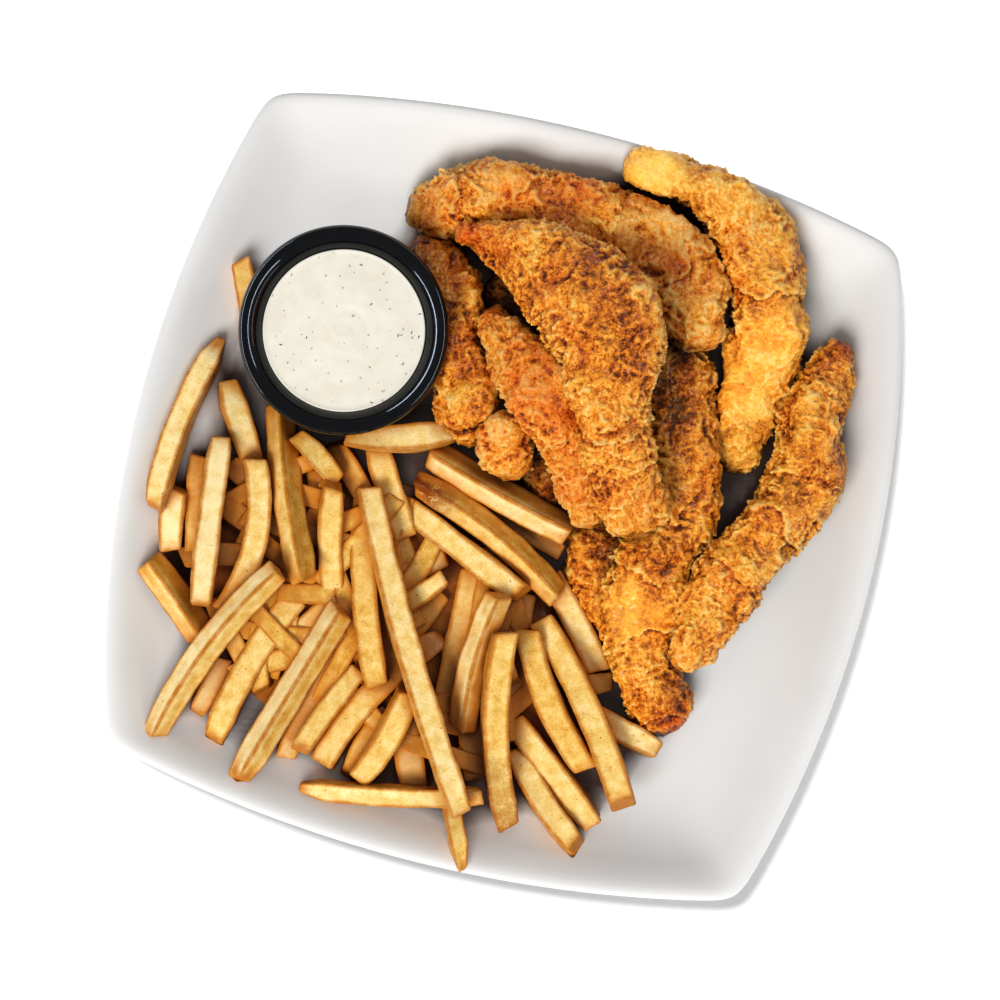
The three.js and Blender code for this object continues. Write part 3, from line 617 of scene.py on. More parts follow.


# How deep in a gap each point lies: 0 in the open, near 1 where the heap hides the whole sky. The plate,
# chips and strips are painted darker with it, as painted shade.
def gapAt(points, reaches=(2, 4, 7, 11, 16, 24), ways=20):
    hidden = np.zeros(len(points))
    for bearing in turn * np.arange(ways) / ways:
        steepest = np.zeros(len(points))
        for far in reaches:
            at = cellOf(points[:, 0] + far * math.cos(bearing), points[:, 1] + far * math.sin(bearing))
            steepest = np.maximum(steepest, (heapMap[at] - points[:, 2]) / far)
        hidden += steepest ** 2 / (1 + steepest ** 2)
    return hidden / ways


# The height that holds a piece up at each sample. bearing is the share of its width that bears, and rise
# how far its underside lies above its lowest line there.
def supports(samples, bearing, rise):
    heights = []
    for s in samples:
        reach = bearing * s["half"]
        across = np.arange(-reach, reach + 1e-9, 0.7)
        ground = heapMap[cellOf(s["x"] - across * s["dirY"], s["y"] + across * s["dirX"])]
        heights.append(np.max(ground - rise(across, s)))
    return heights


# Raises the map to the piece's top, which falls away from its middle.
def raiseMap(samples, heights, fall):
    for s, height in zip(samples, heights):
        across = np.arange(-s["half"], s["half"] + 1e-9, 0.45)
        at = cellOf(s["x"] - across * s["dirY"], s["y"] + across * s["dirX"])
        np.maximum.at(heapMap, at, height - fall(across, s))


# The corners of a string pulled tight over the heights.
def tightString(samples, heights):
    corners = []
    for s, height in zip(samples, heights):
        while len(corners) > 1:
            (alongA, heightA), (alongB, heightB) = corners[-2:]
            if (heightB - heightA) * (s["along"] - alongA) > (height - heightA) * (alongB - alongA):
                break
            corners.pop()
        corners.append((s["along"], height))
    return corners


# Chips

chipSizes = {
    "sink": 1.6,  # how far it presses into what it lies on
    "steepest": 0.24,
    "chamfer": 0.24,  # of the corners, as a share of the half width
    "bearing": 0.35,
    "freeEnd": 0.07,  # share of its length at each end that nothing has to hold up
    "ringEvery": 1.25,
    "around": 36,
    "cornerPower": 12,  # larger is a sharper corner
    "cornerCrowding": 0.19,  # how far the points round a chip gather at its corners
    "endRound": 0.9,  # radius of the edges of its cut ends
    "slimEnd": (0.72, 0.97),  # an end's width as a share of the middle's
    "slimOver": 9,
    "roll": 9,  # degrees, at most, as is the twist from end to end
    "twist": 10,
    "lean": 0.36,  # how far a cut end slopes, and over what length it eases
    "leanOver": 7,
    "hollow": 0.25,  # how far the middles of its faces lie back
    # size and height of its swelling, the unevenness of its faces, and their fine roughness
    "swell": (13, 0.07),
    "uneven": (8, 0.42),
    "fine": (1.7, 0.13),
    "sideTone": 0.75,  # how much darker its two side faces are than its top and bottom: partly browner frying, partly painted shade on the sides
    "seed": 11,
}

# x and y of both ends seen from above, bow of the middle to the left, width, and what else it has.
# edge: a corner of the section is on top. startTip and tip: ends drawn out to that share. burnt: how
# brown the first end is, and burntEnd the second.
chipsUnder = [
    (-112, -52, -79, -43, 1, 9),
    (-124, -56, -97, -80, 0.5, 12.5, {"edge": True}),
    (-120, -27, -117, -50, -0.8, 10),
    (-115.5, -13, -108, -48, 0.4, 8.5),
    (-103, -13, -77, -27, 0.5, 9),
    (-106, -27, -79, -37, 0, 9),
    (-88, -86, -93, -108, 0, 8),
    (-0.7, -98, 19.4, -139.8, 0.3, 6.6, {"tip": 0.45}),
    (-48, -125, 19.5, -111, -1.6, 7.4, {"tip": 0.8, "startTip": 0.4}),
    (42, -70, 80, -79, 0.2, 9.5, {"tip": 0.7}),
    (43, -64, 57, -58, 0, 9),
    (27, -92, 59, -121.3, -1.8, 9.5),
    (8, -83, 16.5, -106, 0, 10.5),
    (-4, -30, -2, -82, -0.2, 10),
    (17, -34, 24, -76, -1.9, 9),
    (-14, -41, -21, -58, 0, 8.5),
    (-37, -43, -15, -27, 0, 9),
    (-17, -2, 26, -15.5, 1, 8.5),
    (-72, -7, -62, -26, 0, 8.5),
    (-67, 4, -51, -12, 0, 9, {"burnt": 0.45}),
    (-52, 8, -32, -24, -0.6, 11),
    (-41, -66, -56, -116, -2.1, 9),
    (-23, -90, -31.5, -117, -1.5, 8),
    (-19, -87, -5.5, -115.5, 0, 11.5),
    (2, -46, 20, -68, 0.5, 9.5),
]
chipsOver = [
    (-117.8, 32, -126, -36, -3.1, 9, {"startTip": 0.35}),
    (-112.3, 16.5, -96, -10, -0.3, 10.5, {"startTip": 0.65}),
    (-91, 13, -65, -49, -1.4, 11.5, {"edge": True}),
    (-95, -9, -92, -68, 6.7, 9.5),
    (-82, 3.5, -62, -10, 1, 8.5),
    (-63.5, -11, -54, -51, -1.3, 9.5),
    (-66, -54, -84, -116, -2.7, 10.5),
    (-47, -49, -69, -83, -1.3, 9.5),
    (-37, -77, -51, -111, -0.7, 8.5),
    (-9, -57, -42, -115, -4.3, 10, {"burnt": 0.7}),
    (-17, -79, -27.5, -116.5, 2, 10),
    (-14, -35, -33, -56, 0.5, 8),
    (7.5, -36, 6.5, -89, -2.5, 11, {"edge": True}),
    (25.5, -82, 63, -112, 0.3, 10),
    (13, -49, 31.6, -119.5, -4.4, 10, {"burntEnd": 0.5}),
    (21.5, -47, 55, -91, -3.1, 10.5),
    (26, -26, 51, -55, 0.5, 10),
    (-31, 9.5, 28, -7, -0.8, 12.5, {"edge": True}),
    (-63, 8.5, -23, 20, -2.4, 10),
    (-109, -5, -100, -67, -0.4, 9.5),
    (-75, -47, -106, -119.2, -3.8, 11, {"edge": True}),
    (-49, -56, -71, -127.5, -0.1, 11.5, {"edge": True, "tip": 0.7}),
    (-50.5, -12, -28.5, -81, -2.6, 10, {"burnt": 0.5}),
    (-33, -13, 15.5, -34, -0.2, 10),
    (-33, -3, 29, -31.5, 3.5, 11, {"edge": True, "burnt": 1.0}),
    (25.5, -42, 71.5, -101, 2.5, 10.5),
    (-50.5, -9, 13.5, -118, -2.3, 9.5),
]
chipAlone = (-118, 62, -105, 32, 0.5, 8.5)


def readChip(row):
    x1, y1, x2, y2, bow, width, *own = row
    return {"start": (x1, y1), "end": (x2, y2), "bow": bow, "width": width, **dict(*own)}


# Lengths, places and directions along a chip's bowed middle line, at shares t of its length.
def chipLine(chip, t):
    start, end = np.array(chip["start"], float), np.array(chip["end"], float)
    length = np.hypot(*(end - start))
    forward = (end - start) / length
    left = np.array([-forward[1], forward[0]])
    place = start + t[:, None] * (end - start) + (4 * t * (1 - t) * chip["bow"])[:, None] * left
    direction = forward + (4 * (1 - 2 * t) * chip["bow"] / length)[:, None] * left
    direction /= np.hypot(*direction.T)[:, None]
    return t * length, place, direction


def chipSamples(chip):
    count = math.ceil(math.dist(chip["start"], chip["end"]) / 0.7)
    t = np.arange(count + 1) / count
    along, place, direction = chipLine(chip, t)
    return [{"t": t[i], "along": along[i], "x": place[i, 0], "y": place[i, 1], "dirX": direction[i, 0],
             "dirY": direction[i, 1], "half": chip["width"] / 2} for i in range(count + 1)]


def settleChip(chip):
    samples = chipSamples(chip)
    half = chip["width"] / 2
    flat = chipSizes["chamfer"] * half if chip.get("edge") else (1 - chipSizes["chamfer"]) * half

    def cornerRound(across, _):
        return np.maximum(0, np.abs(across) - flat)

    held = [s for s in samples if abs(s["t"] - 0.5) < 0.5 - chipSizes["freeEnd"]]
    bottoms = supports(held, chipSizes["bearing"], cornerRound)
    corners = tightString(held, bottoms)
    middle = samples[-1]["along"] / 2
    following = max(1, next(i for i, c in enumerate(corners) if c[0] >= middle))
    (alongA, heightA), (alongB, heightB) = corners[following - 1], corners[following]
    slope = (heightB - heightA) / (alongB - alongA)
    slope = min(chipSizes["steepest"], max(-chipSizes["steepest"], slope))
    base = max(b - slope * s["along"] for s, b in zip(held, bottoms)) - chipSizes["sink"]
    raiseMap(samples, [base + slope * s["along"] + chip["width"] for s in samples], cornerRound)
    return {**chip, "base": base, "slope": slope}


# One chip as rings of a square with tight corners that swells, leans and bends a little. Rings crowd at
# the two cut ends, and two small ones lie on each end's face.
def chipRings(chip, number):
    draw = np.random.default_rng(chipSizes["seed"] * 1000 + number)
    length = math.dist(chip["start"], chip["end"])
    width = chip["width"]
    near = [0, 0, 0, 0.12, 0.3, 0.55, 0.9, 1.4]
    body = np.linspace(2, length - 2, max(8, round((length - 4) / chipSizes["ringEvery"])))
    along = np.concatenate([near, body, length - np.array(near[::-1])])
    onFace = np.ones(len(along))
    onFace[:2] = (0.35, 0.7)
    onFace[-2:] = (0.7, 0.35)
    t = along / length
    _, place, direction = chipLine(chip, t)
    power = chipSizes["cornerPower"]
    # a chip that lies on its corner is cut back, so that it is as wide as the photo shows
    half = width / 2 / math.sqrt(2) / (1 - 0.35 * chipSizes["chamfer"]) if chip.get("edge") else width / 2
    mostRoll, mostTwist = chipSizes["roll"], chipSizes["twist"]
    roll = turn / 8 if chip.get("edge") else math.radians(draw.uniform(-mostRoll, mostRoll))
    twist = math.radians(draw.uniform(-mostTwist, mostTwist))
    even = turn * (np.arange(chipSizes["around"]) + 0.5) / chipSizes["around"]
    angles = even + chipSizes["cornerCrowding"] * np.sin(4 * even)
    square = (np.abs(np.cos(angles)) ** power + np.abs(np.sin(angles)) ** power) ** (-1 / power)
    corner = np.clip((square - 1) / (square.max() - 1), 0, 1)
    fromEnd = np.minimum(along, length - along)
    slim = np.random.default_rng(number).uniform(*chipSizes["slimEnd"], 2)
    over = chipSizes["slimOver"]
    taper = np.interp(along, [0, over, length - over, length],
                      [chip.get("startTip", slim[0]), 1, 1, chip.get("tip", slim[1])])
    reach = chipSizes["endRound"]
    inset = reach - np.sqrt(reach ** 2 - np.clip(reach - fromEnd, 0, reach) ** 2)
    leans = draw.uniform(-chipSizes["lean"], chipSizes["lean"], 4)  # of both ends, across and upwards
    wobble = draw.uniform(0, 100, 3)
    slope = chip["slope"]
    forward = np.column_stack([direction, np.full(len(t), slope)])
    forward /= np.linalg.norm(forward, axis=1)[:, None]
    left = np.column_stack([-direction[:, 1], direction[:, 0], np.zeros(len(t))])
    up = np.cross(forward, left)
    middle = np.column_stack([place, chip["base"] + slope * along + width / 2])
    (swellSize, swell), (unevenSize, uneven), (fineSize, fine) = (
        chipSizes[kind] for kind in ("swell", "uneven", "fine"))
    rings = []
    for i in range(len(t)):
        spot = angles + roll + twist * (t[i] - 0.5)
        swollen = 1 + swell * noise.noise((along[i] / swellSize + wobble[0], 0, 0))
        ways = [(math.cos(a), math.sin(a)) for a in angles]
        bumps = np.array([noise.noise((along[i] / unevenSize, 1.4 * c + wobble[1], 1.4 * s))
                          for c, s in ways])
        pits = np.array([noise.noise((along[i] / fineSize, 3.4 * c, 3.4 * s + wobble[2]))
                         for c, s in ways])
        hollow = chipSizes["hollow"] * (1 - corner) * (onFace[i] == 1)
        radius = (half * taper[i] - inset[i]) * square * swollen + uneven * bumps + fine * pits - hollow
        across, lift = onFace[i] * radius * np.cos(spot), onFace[i] * radius * np.sin(spot)
        towardsStart, towardsEnd = (max(0, 1 - away / chipSizes["leanOver"])
                                    for away in (along[i], length - along[i]))
        cut = across * (leans[0] * towardsStart + leans[1] * towardsEnd)
        cut = cut + lift * (leans[2] * towardsStart + leans[3] * towardsEnd)
        rings.append(middle[i] + np.outer(across, left[i]) + np.outer(lift, up[i])
                     + np.outer(cut, forward[i]))
    hubs = [rings[0].mean(axis=0), rings[-1].mean(axis=0)]
    points = np.vstack([hubs[:1], *rings, hubs[1:]])
    side = np.floor((angles + turn / 8) % turn / (turn / 4)).astype(int)
    # the two side faces take the darker tone: partly browner frying, partly painted shade
    paler = chipSizes["sideTone"] * (side % 2 == 0)
    sideTone = (paler + draw.uniform(-0.25, 0.2, 4)[side]) * (1 - corner)
    chipTone = chip.get("tone", draw.uniform(0.1, 0.9))
    share = np.repeat(t, len(angles))
    burnt = (chip.get("burnt", 0) * np.clip(1.5 - share * 5, 0, 1)
             + chip.get("burntEnd", 0) * np.clip(1 - (1 - share) * 2.2, 0, 1))

    def withHubs(values, atHub):
        return np.concatenate([[atHub], values, [atHub]])

    return points, len(rings), {
        "edge": withHubs((corner[None, :] * (onFace[:, None] == 1)).ravel(), 0),
        "fromEnd": withHubs(np.repeat(fromEnd, len(angles)), 0),
        "tone": withHubs(np.tile(chipTone + sideTone, len(t)), chipTone),
        "burnt": withHubs(burnt, 0),
    }


# Fried potato: a thin dry crust over pale flesh. Faces are cream and finely pitted, corners and cut
# ends took more heat and are golden, and a trace of oil leaves a broken sheen.
def friedPotato():
    material, tree, shader, place = newMaterial("fried potato", {
        "IOR": 1.45,
        "Specular IOR Level": 0.4,
        "Subsurface Weight": 0.12,
        "Subsurface Radius": (1.0, 0.6, 0.25),
        "Subsurface Scale": 0.002,
        "Coat Weight": 0.25,
        "Coat Roughness": 0.25,
    })
    edge, fromEnd, tone, burnt, gap = (addNode(tree, "Attribute", attribute_name=name).outputs["Fac"]
                                       for name in ("edge", "fromEnd", "tone", "burnt", "gap"))
    patches = addNode(tree, "TexNoise", {"Vector": place, "Scale": 260.0, "Detail": 3.0})
    pits = addNode(tree, "TexNoise", {"Vector": place, "Scale": 1500.0, "Detail": 3.0, "Roughness": 0.6})
    # pale where the chip is pale and the patch is: patches are 3 to 4 mm, pits well under 1 mm
    mottle = addNode(tree, "Math", [pits, 0.5, -0.05], operation="MULTIPLY_ADD")
    cloudy = addNode(tree, "Math", [patches, 0.55, mottle], operation="MULTIPLY_ADD")
    toned = addNode(tree, "Math", [tone, -0.28, cloudy], operation="MULTIPLY_ADD")
    face = addNode(tree, "ValToRGB", [toned],
                   stops=[(0.02, "#BE8832"), (0.16, "#D1A852"), (0.32, "#E0C37C"), (0.5, "#EBD9A8")])
    # corners: the attribute is 1 on a corner and 0 in the middle of a face, broken up by the patches
    nearCorner = addNode(tree, "MapRange", [edge, 0.48, 0.88, 0.0, 1.0])
    nearEnd = addNode(tree, "MapRange", [fromEnd, 0.1, 4.0, 1.0, 0.0])
    fried = addNode(tree, "Math", [nearCorner, nearEnd], operation="MAXIMUM")
    rough = addNode(tree, "MapRange", [cloudy, 0.58, 0.36, 0.6, 1.0])
    golden = addNode(tree, "Math", [fried, rough], operation="MULTIPLY")
    goldenEdges = addNode(tree, "Mix", [golden, face, "#C88A2C"], data_type="RGBA")
    onCorner = addNode(tree, "MapRange", [edge, 0.6, 0.92, 0.0, 0.75])
    atCut = addNode(tree, "MapRange", [fromEnd, 0.2, 1.6, 0.8, 0.0])
    darker = addNode(tree, "Math", [onCorner, atCut], operation="MAXIMUM")
    crisped = addNode(tree, "Math", [darker, rough], operation="MULTIPLY")
    withEdges = addNode(tree, "Mix", [crisped, goldenEdges, "#9C5A14"], data_type="RGBA")
    # a few brown flecks, under a millimetre
    flecks = addNode(tree, "TexNoise", {"Vector": place, "Scale": 620.0, "Detail": 1.0})
    isFleck = addNode(tree, "MapRange", [flecks, 0.73, 0.79, 0.0, 0.75])
    flecked = addNode(tree, "Mix", [isFleck, withEdges, "#8A4F1E"], data_type="RGBA")
    broken = addNode(tree, "MapRange", [cloudy, 0.66, 0.48])
    brown = addNode(tree, "Math", [burnt, broken], operation="MULTIPLY", use_clamp=True)
    withBurn = addNode(tree, "Mix", [brown, flecked, "#7E3C12"], data_type="RGBA")
    # painted shade: golden where the heap hides part of the sky, and deep brown in its deepest gaps
    atSide = addNode(tree, "MapRange", [gap, 0.28, 0.58, 0.0, 0.8])
    sided = addNode(tree, "Mix", [atSide, withBurn, "#C47A22"], data_type="RGBA")
    deep = addNode(tree, "MapRange", [gap, 0.55, 0.95, 0.0, 0.9])
    withPaintedShade = addNode(tree, "Mix", [deep, sided, "#5A2609"], data_type="RGBA")
    gloss = addNode(tree, "MapRange", [pits, 0.3, 0.7, 0.42, 0.7])
    bump = addNode(tree, "Bump", {"Strength": 0.6, "Distance": 0.0004, "Height": cloudy})
    setInputs(tree, shader, {"Base Color": withPaintedShade, "Roughness": gloss, "Normal": bump})
    return material


coreSizes = {
    "outline": [(-112, -8), (-84, 2), (-50, 0), (-8, -4), (20, -22), (44, -48),
                (52, -84), (30, -104), (-6, -106), (-46, -108), (-84, -100), (-108, -60)],
    "middle": (-28, -54),
    "top": 10,
    "bottom": 7.8,
    "rings": 26,
    "spread": 0.94,  # how much of the outline its foot fills
    "lump": (6, 0.8),  # size and height
    # chips at the bottom of the heap, seen only through its gaps: how many, and their ranges
    "hiddenChips": 44,
    "hiddenHalf": (13, 24),
    "hiddenWidth": (7, 8.5),
    # the hidden chips' tones are darker than the visible chips': painted shade at the bottom of the heap
    "hiddenTone": (0.8, 1.5),
    "seed": 5,
}


def coreOutline():
    loop = coreSizes["outline"] + coreSizes["outline"][:1]
    return easedLine(loop, 3)[:-1][::-1]


# The low mound under the chips: potato too, lumpy, seen only through gaps.
def makeCore(material):
    outline = coreOutline()
    middle = np.array(coreSizes["middle"])
    rings = []
    for i in range(coreSizes["rings"]):
        share = i / (coreSizes["rings"] - 1)
        size = coreSizes["spread"] * math.cos(share * turn / 4) ** 0.5
        z = coreSizes["bottom"] + (coreSizes["top"] - coreSizes["bottom"]) * math.sin(share * turn / 4)
        flat = middle + (outline - middle) * max(size, 0.02)
        rings.append(np.column_stack([flat, np.full(len(flat), z)]))
    points = np.vstack([[[*middle, coreSizes["bottom"]]], *rings, [[*middle, coreSizes["top"]]]])
    lumpSize, lumpHeight = coreSizes["lump"]
    points[:, 2] += lumpHeight * noiseAt(points, lumpSize) * (points[:, 2] > coreSizes["bottom"] + 1)
    # the core is coloured all over as golden corners with burnt brown, darker than any chip's face: painted
    # shade at the bottom of the heap
    attributes = {"edge": np.full(len(points), 1.0), "fromEnd": np.full(len(points), 9.0),
                  "tone": np.ones(len(points)), "burnt": np.full(len(points), 0.8), "gap": gapAt(points)}
    return makePiece("chips_core", points, tubeFaces(len(rings), len(outline)), material, attributes)


# Chips that lie flat at the bottom of the heap, anyhow, inside the core's outline.
def hiddenChips():
    draw = np.random.default_rng(coreSizes["seed"])
    xs, ys = zip(*coreSizes["outline"])
    offsets = coreOutline() - np.array(coreSizes["middle"])
    bearing = np.arctan2(offsets[:, 1], offsets[:, 0])
    order = np.argsort(bearing)
    reach = np.hypot(*offsets.T)[order]
    chips = []
    while len(chips) < coreSizes["hiddenChips"]:
        centre = np.array([draw.uniform(min(xs), max(xs)), draw.uniform(min(ys), max(ys))])
        heading, half = draw.uniform(0, turn / 2), draw.uniform(*coreSizes["hiddenHalf"])
        step = half * np.array([math.cos(heading), math.sin(heading)])
        ends = [centre - step, centre + step]
        away = [end - coreSizes["middle"] for end in ends]
        limits = [np.interp(math.atan2(a[1], a[0]), bearing[order], reach, period=turn) for a in away]
        if all(math.hypot(*a) < limit - 3 for a, limit in zip(away, limits)):
            chips.append({
                "start": tuple(ends[0]), "end": tuple(ends[1]), "bow": draw.uniform(-1, 1),
                "width": draw.uniform(*coreSizes["hiddenWidth"]),
                "base": coreSizes["bottom"] + draw.uniform(0, 2.5), "slope": draw.uniform(-0.05, 0.05),
                "tone": draw.uniform(*coreSizes["hiddenTone"]),
            })
    return chips


# Strips

stripSizes = {
    "bearing": 0.8,
    "sink": 2.6,
    "slack": 8,  # how far its stiffness eases its lie, each way
    "fullness": 0.85,  # of the section: 1 is an ellipse, and less is fuller
    "smoothEnd": 12,
    "ringEvery": 0.48,
    "pointEvery": 0.5,
    "around": (64, 210),  # fewest and most points round a strip
    "tipRound": 0.9,  # length of the rounded tip, as a share of the half width there
    # size and height of each kind of bump in the batter
    "bumps": {
        "lump": (9, 1.5),
        "knob": (4.8, 0.9),
        "puff": (4.4, 0.7),
        "rumple": (5.4, 0.4),
        "crag": (4.6, 0.3),
        "flake": (2.2, 0.16),
        "blister": (1.7, 0.1),
        "grain": (0.95, 0.17),
    },
}

# line is the middle line's x and y and the half width there, thick the greatest thickness, and ribs the
# depth of the cross ridges. brown and red shift the whole strip's colour. spots are places seen from
# above: x, y, reach, and what changes there: brown, red (below 0 is yellow), smooth (1 is the smoothest),
# bump (mm outwards). folds are x, y, height and reach of a lip across the strip. browned is how much
# browner each side is.
stripsUnder = [
    {
        "name": "strip_buried_back", "seed": 10, "thick": 16, "ribs": 0.5, "brown": 0.35, "red": 0.2,
        "line": [(-27, 76, 8), (-14, 71, 11), (0, 62, 12), (14, 50, 10), (24, 40, 7)],
    },
    {
        "name": "strip_buried_middle", "seed": 11, "thick": 14, "ribs": 0.5, "brown": 0.4, "red": 0.3,
        "line": [(-2, 28, 6), (8, 20, 10), (18, 9, 11), (26, 0, 8)],
    },
    {
        "name": "strip_buried_front", "seed": 12, "thick": 15, "ribs": 0.6, "brown": 0.3, "red": 0.1,
        "line": [(33, 1, 8), (38, -8, 11.5), (43, -18, 13), (49, -29, 12), (54, -39, 7)],
        "spots": [(37, -13, 10, {"brown": 0.2})],
    },
    {
        "name": "strip_crescent", "seed": 6, "thick": 21, "ribs": 0.7, "brown": -0.18, "red": -0.32,
        "line": [(13, 130.5, 4), (20, 131.7, 7), (28, 133, 7.6), (42.4, 130.7, 8.9), (55.4, 125.9, 11),
                 (66, 118, 12.6), (74, 109, 13.8), (78, 98, 13.5), (81, 85, 14.3), (82.4, 72, 13.5),
                 (82.7, 60, 12.4), (81, 48, 12.2), (80, 38, 10.5), (80.5, 29.5, 6)],
        "spots": [(22, 133, 13, {"brown": -0.3, "red": -0.5, "smooth": 0.6}),
                  (62, 113, 9, {"red": 0.6}), (66, 97, 6, {"red": 0.8, "bump": 1.5}),
                  (83, 78, 13, {"smooth": 0.75}), (75, 64, 15, {"smooth": 0.8, "red": 0.2}),
                  (96, 82, 7, {"brown": 0.4}), (88, 112, 8, {"brown": 0.4}), (80, 42, 12, {"brown": 0.2})],
        "folds": [(78, 98, 1.5, 8), (82, 62, 0.7, 5), (81, 46, 0.7, 4)], "browned": (0.25, 0.45),
    },
    {
        "name": "strip_front", "seed": 8, "thick": 18, "ribs": 0.6, "brown": 0.18, "red": 0.0,
        "line": [(53, 84, 7), (51, 70, 12), (52.5, 56, 14), (57, 42, 14.5), (61.5, 28, 15), (63, 14, 15),
                 (62.3, 1, 15.2), (60.4, -11.4, 15.6), (59.7, -25.7, 15.2), (62.8, -35.8, 13.6),
                 (66, -44.5, 12.8), (73, -56, 12), (78.5, -64.5, 12), (84, -71.5, 9)],
        "spots": [(53, 58, 12, {"brown": 0.35}), (49, 44, 12, {"brown": 0.35}),
                  (60, -29, 11, {"red": -0.4, "smooth": 0.7}), (83, -67, 8, {"red": 1.0, "brown": 0.35}),
                  (70, 4, 5, {"brown": 0.3}), (81, -44, 7, {"red": 0.5}), (60, -29, 9, {"bump": 1.4})],
        "folds": [(62, 8, 1.2, 5), (58, -17, 1.2, 5), (63, -40, 1.4, 7), (79, -65, 1.3, 6)],
    },
]
stripsOver = [
    {
        "name": "strip_right", "seed": 7, "thick": 22, "ribs": 0.7, "brown": 0.14, "red": 0.0,
        "line": [(111.5, 88, 3.5), (108.4, 78.3, 7.2), (106.5, 64, 11), (106, 50, 12.5),
                 (108.2, 38, 12.4), (106.1, 25.2, 12.6), (100, 12.9, 11.8), (94.4, 0.8, 12.2),
                 (89, -11.4, 12.4), (85.4, -24.7, 11.3), (82.1, -36.6, 9.2), (78.5, -47, 5)],
        "spots": [(111, 86, 6, {"brown": 0.5, "red": 0.4}), (80, -44, 8, {"red": 0.3}),
                  (92, 12, 10, {"brown": 0.25}), (104, 56, 10, {"red": -0.2})],
        "folds": [(107, 34, 0.9, 5), (101, 14, 1.5, 6), (90, -9, 0.9, 5)],
    },
    {
        "name": "strip_by_pot", "seed": 4, "thick": 18, "ribs": 0.6, "brown": 0.25, "red": 0.25,
        "line": [(-51, 91, 6), (-48, 84, 10), (-42, 74, 12), (-35, 62, 12), (-29, 49, 11.5), (-24, 37, 12),
                 (-19.5, 26, 11), (-15, 15.5, 5)],
        "spots": [(-35.8, 53, 9, {"brown": 0.3}), (-26.4, 28.8, 5, {"brown": -0.4, "bump": 1.0})],
    },
    {
        "name": "strip_small", "seed": 9, "thick": 15, "ribs": 0.5, "brown": 0.0, "red": 0.4,
        "line": [(-7, 32, 6), (-5, 26, 10), (-3, 18, 10.5), (0, 10, 8.5), (1, 6, 5)],
        "spots": [(-4.5, 23, 6, {"brown": -0.2})],
    },
    {
        "name": "strip_back", "seed": 1, "thick": 20, "ribs": 0.7, "brown": -0.2, "red": 0.3,
        "line": [(-62.5, 98.5, 5), (-51, 99.5, 10), (-39, 106, 12.5), (-25, 109.5, 13.5), (-10, 108, 12.5),
                 (5, 108.5, 15), (20, 106.5, 15.5), (34, 102.5, 15.5), (46, 93.5, 15), (53.5, 82, 12.5),
                 (58, 70, 8)],
        "spots": [(-36, 114, 10, {"brown": -0.3}), (-42, 98.4, 6, {"brown": 0.5}),
                  (-9, 105, 10, {"brown": 0.4, "red": 0.4}), (0.4, 118, 6, {"red": 0.5}),
                  (41, 98, 6, {"brown": 0.5, "red": 0.6}), (18.6, 120, 8, {"brown": 0.3}),
                  (46, 84, 12, {"brown": 0.05})],
        "folds": [(-44, 103, 1.4, 6), (-18, 109, 0.9, 5), (14, 107, 0.8, 6), (42, 98, 1.2, 6)],
    },
    {
        "name": "strip_inner", "seed": 3, "thick": 19, "ribs": 0.5, "brown": -0.12, "red": 0.5,
        "line": [(-22.5, 67.5, 3.5), (-15, 58, 9), (-1.5, 46.5, 12.6), (12, 35, 13), (22, 24, 12),
                 (29, 13, 11), (34.5, 4, 9), (38, -3, 6)],
        "spots": [(12.8, 33, 8, {"brown": 0.35, "red": 0.3})],
    },
    {
        "name": "strip_largest", "seed": 2, "thick": 23, "ribs": 0.6, "brown": 0.17, "red": 0.05,
        "line": [(-42, 90.5, 3.5), (-34, 92, 5.5), (-22, 91, 9.5), (-8, 87, 14.5), (8, 80, 20),
                 (21, 69.3, 22.8), (26.3, 54.7, 16.5), (30.7, 41, 13.2), (36.2, 27.1, 12.7),
                 (42.8, 14.5, 12.4), (48.7, 4, 11.3), (52, -3, 7.5)],
        "spots": [(-37, 90.5, 9, {"red": 0.8, "brown": 0.2}), (-22.9, 87.4, 7, {"red": 0.5, "brown": 0.3}),
                  (3.7, 90, 12, {"brown": 0.35}), (20, 80, 13, {"brown": 0.4}),
                  (38, 70, 14, {"brown": 0.25}), (33, 56, 8, {"brown": 0.15}),
                  (4, 70, 10, {"brown": -0.2, "red": 0.15}), (24, 42, 10, {"brown": -0.3}),
                  (50, 4, 10, {"brown": -0.15, "red": 0.2})],
        "folds": [(34, 31, 0.9, 3.5), (37, 25, 0.9, 3.5), (40, 19, 0.9, 3.5), (44, 12, 0.7, 3.5)],
        "browned": (-0.15, 0.2),
    },
]


# A smooth curve through the strip's points, its knots spaced by the root of the steps between them.
def curveThrough(points, stepsEach):
    knots = np.array(points, float)
    knots = np.vstack([2 * knots[0] - knots[1], knots, 2 * knots[-1] - knots[-2]])
    stretches = []
    for p0, p1, p2, p3 in zip(knots, knots[1:], knots[2:], knots[3:]):
        d0, d1, d2 = (math.dist(a, b) ** 0.5 for a, b in ((p0, p1), (p1, p2), (p2, p3)))
        leaving = ((p1 - p0) / d0 - (p2 - p0) / (d0 + d1) + (p2 - p1) / d1) * d1
        arriving = ((p2 - p1) / d1 - (p3 - p1) / (d1 + d2) + (p3 - p2) / d2) * d1
        t = (np.arange(stepsEach) / stepsEach)[:, None]
        cubic = 2 * p1 - 2 * p2 + leaving + arriving
        square = -3 * p1 + 3 * p2 - 2 * leaving - arriving
        stretches.append(p1 + leaving * t + square * t ** 2 + cubic * t ** 3)
    return np.vstack([*stretches, knots[-2:-1]])


